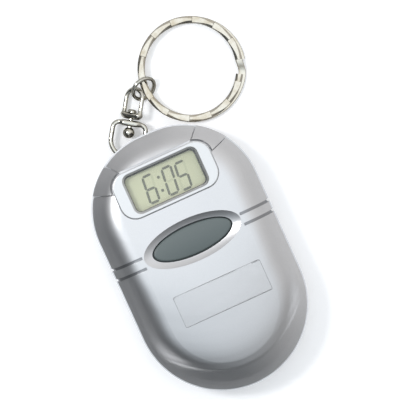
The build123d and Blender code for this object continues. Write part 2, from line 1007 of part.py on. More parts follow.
with BuildPart() as voice_coil:
    with BuildSketch(Plane.XY.offset(cone_high)):
        with Locations((0, speaker_y)):
            Circle(cone_neck_radius)
            Circle(cone_neck_radius - coil_wall, mode=Mode.SUBTRACT)
    extrude(amount=plate_low - coil_gap - cone_high)


def lead(side):
    """A wire from the speaker's basket up to the circuit board."""
    near_x = side * lead_spread
    far_x = side * (lead_spread + lead_slack)
    near_y = speaker_y + speaker_radius - lead_edge / 2
    climb = board_low - flange_high
    with BuildPart() as part:
        with BuildLine() as route:
            FilletPolyline(
                (near_x, near_y, flange_high),
                (near_x, near_y, flange_high + climb / 3),
                (far_x, near_y - lead_edge, board_low - climb / 3),
                (far_x, near_y - lead_edge, board_low),
                radius=lead_bend,
            )
        with BuildSketch(Plane(origin=(near_x, near_y, flange_high))):
            Circle(lead_radius)
        sweep(path=route.wires()[0])
    return part.part


with BuildPart() as speaker_leads:
    add(lead(-1))
    add(lead(1))

# Swivel, in a plane whose +Y runs from the lug along the swivel's axis
bail_origin = (lug_x, lug_y + bail_radius, chain_height)
along_x = sin(radians(swivel_lean))
along_y = cos(radians(swivel_lean))
bail_plane = Plane(
    origin=bail_origin, x_dir=(along_y, -along_x, 0), z_dir=(0, 0, 1)
)


def along_swivel(distance):
    """Plane square to the swivel's axis, at a distance from the bail's middle."""
    return Plane(
        origin=(
            bail_origin[0] + distance * along_x,
            bail_origin[1] + distance * along_y,
            chain_height,
        ),
        x_dir=(0, 0, 1),
        z_dir=(along_x, along_y, 0),
    )


# Bail: a round wire loop that is flattened to an eye where the rivet passes
with BuildPart() as bail:
    with BuildLine(bail_plane):
        bail_bottom = CenterArc((0, 0), bail_radius, 180, 180)
        bail_rest = FilletPolyline(
            (bail_radius, 0),
            (bail_radius, bail_bar_reach),
            (-bail_radius, bail_bar_reach),
            (-bail_radius, 0),
            radius=bail_corner,
        )
    with BuildSketch(
        Plane(
            origin=bail_plane.from_local_coords((bail_radius, 0, 0)),
            z_dir=bail_plane.y_dir,
        )
    ):
        Circle(bail_wire / 2)
    sweep(path=bail_rest)
    with BuildSketch(
        Plane(
            origin=bail_plane.from_local_coords((-bail_radius, 0, 0)),
            z_dir=bail_plane.y_dir,
        )
    ):
        Circle(bail_wire / 2)
    sweep(path=bail_bottom)
    with BuildSketch(along_swivel(bail_bar_reach - bail_eye_thickness / 2)):
        Circle(eye_radius)
    extrude(amount=bail_eye_thickness)
    with BuildSketch(along_swivel(bail_bar_reach - bail_eye_thickness)):
        Circle(rivet_radius + rivet_clearance)
    extrude(amount=2 * bail_eye_thickness, mode=Mode.SUBTRACT)

# Stirrup: a wire arch over its own eye, rolled about the swivel's axis
stirrup_low = bail_bar_reach + bail_eye_thickness / 2 + swivel_gap
stirrup_base = stirrup_low + stirrup_eye_thickness / 2
roll_flat = cos(radians(stirrup_roll))
roll_up = sin(radians(stirrup_roll))
arch_direction = (along_y * roll_flat, -along_x * roll_flat, roll_up)
stirrup_plane = Plane(
    origin=along_swivel(stirrup_base).origin,
    x_dir=arch_direction,
    z_dir=Vector(*arch_direction).cross(Vector(along_x, along_y, 0)),
)

with BuildPart() as stirrup:
    with BuildLine(stirrup_plane):
        stirrup_arch = CenterArc(
            (0, stirrup_length - stirrup_radius), stirrup_radius, 0, 180
        )
        stirrup_rest = FilletPolyline(
            (-stirrup_radius, stirrup_length - stirrup_radius),
            (-stirrup_radius, 0),
            (stirrup_radius, 0),
            (stirrup_radius, stirrup_length - stirrup_radius),
            radius=stirrup_corner,
        )
    for start_x, route in ((stirrup_radius, stirrup_arch), (-stirrup_radius, stirrup_rest)):
        start = (start_x, stirrup_length - stirrup_radius, 0)
        with BuildSketch(
            Plane(
                origin=stirrup_plane.from_local_coords(start),
                z_dir=stirrup_plane.y_dir,
            )
        ):
            Circle(stirrup_wire / 2)
        sweep(path=route)
    with BuildSketch(along_swivel(stirrup_low)):
        Circle(eye_radius)
    extrude(amount=stirrup_eye_thickness)
    with BuildSketch(along_swivel(stirrup_low - stirrup_eye_thickness)):
        Circle(rivet_radius + rivet_clearance)
    extrude(amount=3 * stirrup_eye_thickness, mode=Mode.SUBTRACT)

# Swivel rivet, turning with the stirrup: domed head inside the stirrup, end
# spread over inside the bail
rivet_low = bail_bar_reach - bail_eye_thickness / 2 - 2 * rivet_clearance
rivet_high = stirrup_low + stirrup_eye_thickness
with BuildPart() as swivel_rivet:
    with BuildSketch(along_swivel(rivet_low - rivet_end_height)):
        Circle(rivet_end_radius)
    extrude(amount=rivet_end_height)
    with BuildSketch(along_swivel(rivet_low)):
        Circle(rivet_radius)
    extrude(amount=rivet_high - rivet_low)
    with BuildSketch(along_swivel(rivet_high)):
        Circle(rivet_head_radius)
    extrude(amount=rivet_head_height)
    head_face = swivel_rivet.faces().sort_by(
        Axis((0, 0, 0), (along_x, along_y, 0))
    )[-1]
    fillet(head_face.edges(), rivet_head_height / 2)

# Jump ring: the arch's wire crosses its plane at link_point, inside its hole
link_point = stirrup_plane.from_local_coords(
    (
        stirrup_radius * cos(radians(link_arch_turn)),
        stirrup_length - stirrup_radius + stirrup_radius * sin(radians(link_arch_turn)),
        0,
    )
)
link_reach = jump_radius - jump_width - stirrup_wire / 2 - link_clearance
heading_x = cos(radians(jump_heading))
heading_y = sin(radians(jump_heading))
tilt_flat = cos(radians(jump_tilt))
tilt_up = sin(radians(jump_tilt))
link_plane = Plane(
    origin=link_point,
    x_dir=(heading_x, heading_y, 0),
    z_dir=(heading_y * tilt_up, -heading_x * tilt_up, tilt_flat),
)
jump_centre = link_plane.from_local_coords(
    (
        -link_reach * cos(radians(link_turn)),
        -link_reach * sin(radians(link_turn)),
        0,
    )
)
jump_plane = Plane(origin=jump_centre, x_dir=link_plane.x_dir, z_dir=link_plane.z_dir)


def coil_cuts(plane, outer, width, height):
    """The slit between the two turns of a split ring, with its crossing."""
    middle = outer - width / 2
    ramp = middle * radians(ring_cross_angle)
    slope = degrees(asin(height / 2 / sqrt(ramp**2 + height**2 / 4)))
    ramp_length = sqrt(ramp**2 + height**2 / 4) + ring_slit
    with BuildPart() as cuts:
        with BuildSketch(plane.offset(-ring_slit / 2)):
            Circle(outer + overrun)
            Circle(outer - width - overrun / 2, mode=Mode.SUBTRACT)
            with BuildLine():
                half_chord = 2 * outer * sin(radians(ring_cross_angle))
                Polyline(
                    (0, 0), (2 * outer, half_chord), (2 * outer, -half_chord), close=True
                )
            make_face(mode=Mode.SUBTRACT)
        extrude(amount=ring_slit)
        for side in (1, -1):
            place = Location(
                (middle, side * ramp / 2, side * height / 4), (-slope, 0, 0)
            )
            with Locations(plane.location * place):
                Box(width + overrun, ramp_length, ring_slit)
    return cuts.part


jump_section = Plane(
    origin=jump_plane.origin, x_dir=jump_plane.x_dir, z_dir=-jump_plane.y_dir
)

with BuildPart() as jump_ring:
    with BuildSketch(jump_section):
        with Locations((jump_radius - jump_width / 2, 0)):
            RectangleRounded(jump_width, jump_height, jump_width / 3)
    revolve(axis=Axis(jump_plane.origin, jump_plane.z_dir))
    add(coil_cuts(jump_plane, jump_radius, jump_width, jump_height), mode=Mode.SUBTRACT)

# Key ring, leaning down from the jump ring until its far side meets the table
key_link = jump_plane.from_local_coords((key_link_across, -key_link_drop, 0))
ring_middle = ring_radius - ring_width / 2
ring_drop = key_link.Z - ring_height / 2 - ring_floor_gap
ring_lean = asin(ring_drop / (2 * ring_middle + ring_width / 2))
ring_plane = Plane(
    origin=(
        key_link.X + ring_middle * cos(ring_lean),
        key_link.Y,
        key_link.Z - ring_middle * sin(ring_lean),
    ),
    x_dir=(cos(ring_lean), 0, -sin(ring_lean)),
    z_dir=(sin(ring_lean), 0, cos(ring_lean)),
)

with BuildPart() as key_ring:
    with BuildSketch(ring_plane.offset(-ring_height / 2)):
        facet_turn = 2 * 180 / facet_count
        with BuildLine():
            for number in range(facet_count):
                turns = [
                    radians(facet_turn * (number + share)) for share in (0, 1 / 2, 1)
                ]
                reaches = (
                    ring_radius - facet_bulge,
                    ring_radius,
                    ring_radius - facet_bulge,
                )
                ThreePointArc(
                    *[(r * cos(t), r * sin(t)) for r, t in zip(reaches, turns)]
                )
        make_face()
        with BuildLine():
            for number in range(facet_count):
                turns = [
                    radians(facet_turn * (number + share)) for share in (0, 1 / 2, 1)
                ]
                inner = ring_radius - ring_width
                reaches = (
                    inner,
                    inner + facet_notch * facet_bow_share,
                    inner + facet_notch,
                )
                points = [(r * cos(t), r * sin(t)) for r, t in zip(reaches, turns)]
                ThreePointArc(*points)
                step_end = (inner * cos(turns[2]), inner * sin(turns[2]))
                Line(points[2], step_end)
        make_face(mode=Mode.SUBTRACT)
    extrude(amount=ring_height)
    add(coil_cuts(ring_plane, ring_radius, ring_width, ring_height), mode=Mode.SUBTRACT)

pieces = {
    "front_shell": front_shell,
    "back_shell": back_shell,
    "lcd_bezel": lcd_bezel,
    "lcd_lens": lcd_lens,
    "lcd_panel": lcd_panel,
    "zebra_strips": zebra_strips,
    "circuit_board": circuit_board,
    "chip_blob": chip_blob,
    "crystal": crystal,
    "capacitor": capacitor,
    "talk_button": talk_button,
    "talk_pad": talk_pad,
    "left_key": left_key,
    "right_key": right_key,
    "left_switch": left_switch,
    "right_switch": right_switch,
    "board_screws": board_screws,
    "case_screws": case_screws,
    "speaker_gasket": speaker_gasket,
    "speaker_basket": speaker_basket,
    "speaker_magnet": speaker_magnet,
    "speaker_cone": speaker_cone,
    "voice_coil": voice_coil,
    "speaker_leads": speaker_leads,
    "cell_left": cell_left,
    "cell_right": cell_right,
    "positive_contact": positive_contact,
    "negative_contact": negative_contact,
    "cell_bridge": cell_bridge,
    "battery_door": battery_door,
    "door_screw": door_screw,
    "bail": bail,
    "stirrup": stirrup,
    "swivel_rivet": swivel_rivet,
    "jump_ring": jump_ring,
    "key_ring": key_ring,
}

os.makedirs("parts", exist_ok=True)
for name, piece in pieces.items():
    piece.part.label = name
    export_step(piece.part, f"parts/{name}.step")
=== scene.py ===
import logging
from dataclasses import dataclass
from enum import Enum
from math import cos, pi, radians, sin, tau
from typing import ClassVar, Iterable, Sequence

import bmesh
import bpy
from mathutils import Matrix, Vector


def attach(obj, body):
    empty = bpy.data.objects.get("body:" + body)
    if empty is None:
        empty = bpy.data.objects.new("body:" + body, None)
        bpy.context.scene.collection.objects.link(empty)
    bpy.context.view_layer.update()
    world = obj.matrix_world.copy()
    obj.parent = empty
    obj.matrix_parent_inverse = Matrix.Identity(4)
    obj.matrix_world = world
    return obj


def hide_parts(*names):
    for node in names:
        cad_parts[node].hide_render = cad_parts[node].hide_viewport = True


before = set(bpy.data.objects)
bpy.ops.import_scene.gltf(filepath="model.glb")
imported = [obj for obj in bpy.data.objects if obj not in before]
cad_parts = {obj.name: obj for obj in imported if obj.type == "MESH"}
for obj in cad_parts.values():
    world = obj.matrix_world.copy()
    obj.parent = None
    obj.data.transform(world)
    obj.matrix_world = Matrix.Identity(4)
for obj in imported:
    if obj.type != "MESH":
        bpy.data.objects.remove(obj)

# A talking clock for a key chain. The clock lies on its back with the display
# up, +Y runs to its key ring, and every length here is written in millimetres
# and turned into metres by MM.

MM = 0.001
Colour = tuple[float, float, float]
Point = tuple[float, float, float]
Flat = tuple[float, float]

# The waist grooves, as the case has them
WAIST_Y = 5.1
GROOVE_PITCH = 2.8
GROOVE_WIDTH = 0.75
GROOVE_START = 13.1

# The crown: how far the faces have fallen between distances from the lower end
CROWN_END = -34.3
CROWN_REACH = 40.0
CROWN_BEND = 0.028
CROWN_FAR = (0.0, 2.5, 4.5, 6.5, 8.5, 10.5, 12.5, 14.5, 18.0, 24.0, 30.0, 40.0)
CROWN_DROPS = (0.0, 0.06, 0.44, 0.63, 0.535, 0.415, 0.34, 0.5, 0.72, 0.45, 0.25)

# The flare: how much the flank leans out between these heights, from low to high
FLARE_HEIGHTS = (8.2, 9.2, 10.5, 11.5, 12.3, 13.2, 14.2, 15.2)
FLARE_DROPS = (1.1, 1.2, 0.72, 0.45, 0.38, 0.25, 0.08)

# The heights between which the case's flank turns into its face
FACE_FROM = 12.6
FACE_FULL = 15.4

# The grooves' painted shade: where it fades across a groove, as shares of the groove's
# width, and along it, past the groove's start; how much it covers; its colour
GROOVE_SHADE_SHARES = (0.44, 0.52)
GROOVE_SHADE_RUNS = (0.1, 0.25)
GROOVE_SHADE_COVER = 0.62
GROOVE_SHADE_COLOUR = (0.08, 0.085, 0.095)

# The finishes' patterns: the part of the noise that shows, its detail, and the
# colour of a dark flake
GRAIN_SPAN = (0.3, 0.7)
GRAIN_DETAIL = 4.0
PATCH_SPAN = (0.4, 0.75)
PATCH_DETAIL = 3.0
FLAKE_DARK = (0.18, 0.18, 0.2)

# How near two points are, in metres, to count as one
DOUBLES = 1e-7

# The number of sides of the coil's wire, and the fullness of a round section
COIL_SIDES = 14
ROUND = 2.0

log = logging.getLogger("talking_clock")


def linked(name: str, data: bpy.types.ID) -> bpy.types.Object:
    """A new object with this data, linked to the scene."""
    made = bpy.data.objects.new(name, data)
    bpy.context.scene.collection.objects.link(made)
    return made


def mesh_piece(
    name: str, points: Iterable[Sequence[float]], faces: Iterable[Sequence[int]], sharp: float
) -> bpy.types.Object:
    """A new object from points in millimetres and its faces.

    Args:
        name: the piece's name.
        points: the corners, in millimetres in the clock's frame.
        faces: the faces, as indices of the points.
        sharp: the angle in degrees past which an edge stays crisp.

    Returns:
        The object, linked to the scene at the origin.
    """
    mesh = bpy.data.meshes.new(name)
    mesh.from_pydata([tuple(c * MM for c in p) for p in points], [], list(faces))
    mesh.validate()
    turn_outwards(mesh)
    shade(mesh, sharp)
    return linked(name, mesh)


def turn_outwards(mesh: bpy.types.Mesh) -> None:
    """Merges the mesh's doubles and turns its faces outwards."""
    work = bmesh.new()
    work.from_mesh(mesh)
    bmesh.ops.remove_doubles(work, verts=work.verts, dist=DOUBLES)
    bmesh.ops.recalc_face_normals(work, faces=work.faces)
    work.to_mesh(mesh)
    work.free()


def shade(mesh: bpy.types.Mesh, sharp: float) -> None:
    """Shades the mesh smooth, with edges past the sharp angle left crisp."""
    for polygon in mesh.polygons:
        polygon.use_smooth = True
    mesh.set_sharp_from_angle(angle=radians(sharp))


def joined(name: str, parts: Sequence[bpy.types.Object]) -> bpy.types.Object:
    """One piece from several plain meshes, which are removed."""
    work = bmesh.new()
    for part in parts:
        work.from_mesh(part.data)
    mesh = bpy.data.meshes.new(name)
    work.to_mesh(mesh)
    work.free()
    for part in parts:
        bpy.data.objects.remove(part)
    return linked(name, mesh)


def paint_side_shade(piece: bpy.types.Object, low: float, high: float) -> None:
    """Marks a piece's sides for painted shade, from 0 on faces that look up to 1 on walls.

    Args:
        piece: the piece, at the origin and unturned.
        low: the lean, as one less the upward share of the normal, where the painted shade starts.
        high: the lean where the painted shade is full.
    """
    mesh = piece.data
    tone = mesh.attributes.new("tone", "FLOAT", "CORNER")
    values = [
        smooth_step(low, high, 1.0 - abs(normal.vector.z)) for normal in mesh.corner_normals
    ]
    tone.data.foreach_set("value", values)


def smooth_step(low: float, high: float, value: float) -> float:
    """How far a value has passed from low to high, from 0 to 1, with soft ends."""
    share = min(max((value - low) / (high - low), 0.0), 1.0)
    return share * share * (3 - 2 * share)


def between(first: float, last: float, share: float) -> float:
    """The number that lies at a share of the way from first to last."""
    return first + (last - first) * share


def rounded_outline(
    width: float, height: float, corner: float, steps: int = 8, centre: Flat = (0.0, 0.0)
) -> list[Flat]:
    """The outline of a rounded rectangle, counterclockwise.

    Args:
        width: its size along x.
        height: its size along y.
        corner: the radius of its corners.
        steps: the number of runs in each corner.
        centre: where its middle is.

    Returns:
        The outline's points.
    """
    outline = []
    for quarter in range(4):
        side_x = (1, -1, -1, 1)[quarter]
        side_y = (1, 1, -1, -1)[quarter]
        for step in range(steps + 1):
            turn = pi / 2 * (quarter + step / steps)
            x = side_x * (width / 2 - corner) + corner * cos(turn)
            y = side_y * (height / 2 - corner) + corner * sin(turn)
            outline.append((centre[0] + x, centre[1] + y))
    return outline


def oval(across: float, along: float, y: float, steps: int) -> list[Flat]:
    """The outline of an ellipse with these half sizes, on the middle line at y."""
    turns = [tau * step / steps for step in range(steps)]
    return [(across * cos(turn), y + along * sin(turn)) for turn in turns]


def lofted(
    name: str, rings: Sequence[Sequence[Sequence[float]]], closed: bool, sharp: float = 35.0
) -> bpy.types.Object:
    """A skin over a row of rings of points.

    Args:
        name: the piece's name.
        rings: the sections in order, each with the same number of points.
        closed: whether the last ring joins the first; otherwise both ends are capped.
        sharp: the angle in degrees past which an edge stays crisp.

    Returns:
        The object.
    """
    count = len(rings[0])
    faces = []
    for here in range(len(rings) if closed else len(rings) - 1):
        near, far = here * count, (here + 1) % len(rings) * count
        for side in range(count):
            beside = (side + 1) % count
            faces.append([near + side, near + beside, far + beside, far + side])
    if not closed:
        last = (len(rings) - 1) * count
        faces += [list(range(count)), list(range(last, last + count))]
    return mesh_piece(name, [point for ring in rings for point in ring], faces, sharp)


def levels(
    name: str, outlines: Sequence[tuple[Sequence[Flat], float]], closed: bool
) -> bpy.types.Object:
    """A skin over flat outlines, each at its own height."""
    return lofted(name, [[(x, y, z) for x, y in line] for line, z in outlines], closed)


def slab(name: str, outline: Sequence[Flat], low: float, high: float) -> bpy.types.Object:
    """A flat piece with the outline's shape between two heights."""
    return levels(name, ((outline, low), (outline, high)), closed=False)


def flat_frame(
    name: str, outer: Sequence[Flat], inner: Sequence[Flat], low: float, high: float
) -> bpy.types.Object:
    """A flat frame between two outlines that have the same number of points."""
    walls = ((outer, low), (outer, high), (inner, high), (inner, low))
    return levels(name, walls, closed=True)


@dataclass(frozen=True)
class Place:
    """A flat frame in space: where it is and where its two directions point."""

    origin: Point
    across: Point
    along: Point

    def point(self, x: float, y: float, z: float = 0.0) -> Vector:
        """The point of the clock's frame that has these coordinates here."""
        across, along = Vector(self.across), Vector(self.along)
        return Vector(self.origin) + across * x + along * y + across.cross(along) * z


def wire_loop(
    name: str, place: Place, route: Sequence[Flat], sizes: Sequence[Point], sides: int = 20
) -> bpy.types.Object:
    """A closed wire along a route in a flat frame, with a section that changes.

    Args:
        name: the piece's name.
        place: the frame that the route lies in.
        route: the points of the wire's middle line, in order round the loop.
        sizes: for each point, the section's width, its height and its fullness, 2 for round.
        sides: the number of points in a section.

    Returns:
        The object.
    """
    rings = []
    for number, (x, y) in enumerate(route):
        before, after = route[number - 1], route[(number + 1) % len(route)]
        run = Vector((after[0] - before[0], after[1] - before[1])).normalized()
        width, height, fullness = sizes[number]
        ring = []
        for side in range(sides):
            c, s = cos(tau * side / sides), sin(tau * side / sides)
            out = abs(c) ** (2 / fullness) * (1 if c > 0 else -1) * width / 2
            up = abs(s) ** (2 / fullness) * (1 if s > 0 else -1) * height / 2
            ring.append(place.point(x + run.y * out, y - run.x * out, up))
        rings.append(ring)
    return lofted(name, rings, closed=True)


def spun(
    name: str, place: Place, profile: Sequence[Flat], sides: int = 40
) -> bpy.types.Object:
    """A turned piece: a profile of radius and distance spun about the frame's along.

    Args:
        name: the piece's name.
        place: the frame whose along direction is the axis.
        profile: radius and distance along the axis, from one end on the axis to the other.
        sides: the number of steps round the axis.

    Returns:
        The object.
    """
    turns = [tau * side / sides for side in range(sides)]
    rings = [
        [place.point(radius * cos(turn), far, radius * sin(turn)) for turn in turns]
        for radius, far in profile
    ]
    return lofted(name, rings, closed=False)


class Socket(Enum):
    """The kinds of socket that the node trees here have."""

    NUMBER = "NodeSocketFloat"
    COUNT = "NodeSocketInt"
    OBJECT = "NodeSocketObject"
    MATERIAL = "NodeSocketMaterial"
    VECTOR = "NodeSocketVector"
    COLOUR = "NodeSocketColor"


def grown(
    tree: bpy.types.NodeTree, kind: str, feeds: dict[str | int, object], **options
) -> bpy.types.Node:
    """A new node in a tree.

    Args:
        tree: the tree.
        kind: the node's type.
        feeds: for each input, a socket to link to it or a plain value.
        options: settings of the node itself.

    Returns:
        The node.
    """
    node = tree.nodes.new(kind)
    for option, value in options.items():
        setattr(node, option, value)
    for label, value in feeds.items():
        if isinstance(value, bpy.types.NodeSocket):
            tree.links.new(value, node.inputs[label])
        else:
            node.inputs[label].default_value = value
    return node


class Tree:
    """A geometry node tree under construction, with named inputs."""

    def __init__(self, name: str, inputs: dict[str, Socket]) -> None:
        """Starts the tree with a geometry input, its named inputs and its output."""
        self.group = bpy.data.node_groups.new(name, "GeometryNodeTree")
        face = self.group.interface
        face.new_socket("Geometry", in_out="INPUT", socket_type="NodeSocketGeometry")
        self.keys = {
            label: face.new_socket(label, in_out="INPUT", socket_type=kind.value).identifier
            for label, kind in inputs.items()
        }
        face.new_socket("Geometry", in_out="OUTPUT", socket_type="NodeSocketGeometry")
        self.given = self.group.nodes.new("NodeGroupInput").outputs
        self.end = self.group.nodes.new("NodeGroupOutput")

    def add(self, kind: str, feeds: dict[str | int, object], **options) -> bpy.types.NodeSocket:
        """The first output of a new node."""
        return grown(self.group, kind, feeds, **options).outputs[0]

    def finish(self, geometry: bpy.types.NodeSocket) -> None:
        """Ends the tree with its instances made real and its material set."""
        real = self.add("GeometryNodeRealizeInstances", {"Geometry": geometry})
        dressed = self.add(
            "GeometryNodeSetMaterial", {"Geometry": real, "Material": self.given["Material"]}
        )
        self.group.links.new(dressed, self.end.inputs[0])

    def apply(self, piece: bpy.types.Object, values: dict[str, object]) -> None:
        """Runs the tree on a piece and leaves the result as its plain mesh.

        Args:
            piece: the object that carries the tree's starting geometry.
            values: a value for each named input.
        """
        modifier = piece.modifiers.new(self.group.name, "NODES")
        modifier.node_group = self.group
        for label, value in values.items():
            modifier[self.keys[label]] = value
        bpy.context.view_layer.update()
        graph = bpy.context.evaluated_depsgraph_get()
        made = bpy.data.meshes.new_from_object(piece.evaluated_get(graph), depsgraph=graph)
        made.name = piece.name
        piece.modifiers.clear()
        piece.data = made


def coil_tree() -> Tree:
    """The tree that winds a flattened wire round in a coil about its Z axis."""
    lengths = ("Turns", "Radius", "Rise", "Wire width", "Wire height")
    inputs = {label: Socket.NUMBER for label in lengths}
    inputs |= {"Steps a turn": Socket.COUNT, "Material": Socket.MATERIAL}
    tree = Tree("wound_coil", inputs)
    given = tree.given
    route = tree.add(
        "GeometryNodeCurveSpiral",
        {
            "Resolution": given["Steps a turn"],
            "Rotations": given["Turns"],
            "Start Radius": given["Radius"],
            "End Radius": given["Radius"],
            "Height": given["Rise"],
        },
    )
    upright = tree.add("GeometryNodeSetCurveNormal", {"Curve": route}, mode="Z_UP")
    unit = {"Resolution": COIL_SIDES, "Radius": 0.5}
    profile = tree.add("GeometryNodeCurvePrimitiveCircle", unit)
    size = tree.add(
        "ShaderNodeCombineXYZ", {"X": given["Wire width"], "Y": given["Wire height"], "Z": 1.0}
    )
    flat = tree.add("GeometryNodeTransform", {"Geometry": profile, "Scale": size})
    tree.finish(
        tree.add(
            "GeometryNodeCurveToMesh",
            {"Curve": upright, "Profile Curve": flat, "Fill Caps": True},
        )
    )
    return tree


def row_tree() -> Tree:
    """The tree that sets one shape on every point, turned by the point's turn."""
    tree = Tree(
        "shape_on_points",
        {"Shape": Socket.OBJECT, "Size": Socket.NUMBER, "Material": Socket.MATERIAL},
    )
    shape = grown(tree.group, "GeometryNodeObjectInfo", {"Object": tree.given["Shape"]})
    turn = grown(
        tree.group, "GeometryNodeInputNamedAttribute", {"Name": "turn"}, data_type="FLOAT"
    )
    placed = tree.add(
        "GeometryNodeInstanceOnPoints",
        {
            "Points": tree.given["Geometry"],
            "Instance": shape.outputs["Geometry"],
            "Rotation": tree.add("ShaderNodeCombineXYZ", {"Z": turn.outputs["Attribute"]}),
            "Scale": tree.given["Size"],
        },
    )
    tree.finish(placed)
    return tree


def opaque(colour: Sequence[float]) -> tuple[float, float, float, float]:
    """A colour with full cover."""
    return (*colour, 1.0)


def mixed(
    tree: bpy.types.NodeTree, share: object, first: object, second: object
) -> bpy.types.NodeSocket:
    """The blend of two colours in a shader tree, by a share from 0 to 1."""
    feeds = {0: share, 6: first, 7: second}
    return grown(tree, "ShaderNodeMix", feeds, data_type="RGBA").outputs[2]


def maths(
    tree: bpy.types.NodeTree, operation: str, first: object, second: object = 0.0
) -> bpy.types.NodeSocket:
    """The result of a sum or another operation in a shader tree."""
    return grown(tree, "ShaderNodeMath", {0: first, 1: second}, operation=operation).outputs[0]


def ranged(
    tree: bpy.types.NodeTree,
    value: object,
    low: float,
    high: float,
    first: object = 0.0,
    last: object = 1.0,
) -> bpy.types.NodeSocket:
    """A value that runs from first to last while another runs from low to high."""
    feeds = {"Value": value, "From Min": low, "From Max": high, "To Min": first, "To Max": last}
    return grown(tree, "ShaderNodeMapRange", feeds).outputs[0]


def drawn_curve(
    tree: bpy.types.NodeTree, value: bpy.types.NodeSocket, spots: Sequence[Flat]
) -> bpy.types.NodeSocket:
    """A value sent through a curve that runs through the given spots."""
    curve = grown(tree, "ShaderNodeFloatCurve", {"Value": value})
    line = curve.mapping.curves[0]
    line.points[0].location = spots[0]
    line.points[1].location = spots[-1]
    for spot in spots[1:-1]:
        line.points.new(*spot)
    curve.mapping.update()
    return curve.outputs[0]


def split(tree: bpy.types.NodeTree, place: bpy.types.NodeSocket) -> Sequence:
    """The x, y and z of a place in a shader tree."""
    return grown(tree, "ShaderNodeSeparateXYZ", {0: place}).outputs


def object_place(tree: bpy.types.NodeTree) -> bpy.types.NodeSocket:
    """The place on the piece, in the piece's own coordinates."""
    return grown(tree, "ShaderNodeTexCoord", {}).outputs["Object"]


def shared(
    tree: bpy.types.NodeTree,
    effect: bpy.types.ShaderNodeTree,
    place: bpy.types.NodeSocket,
    values: dict[str | int, object],
) -> Sequence:
    """The outputs of a shared effect, used at a place with these values."""
    feeds = {"Place": place, **values}
    return grown(tree, "ShaderNodeGroup", feeds, node_tree=effect).outputs


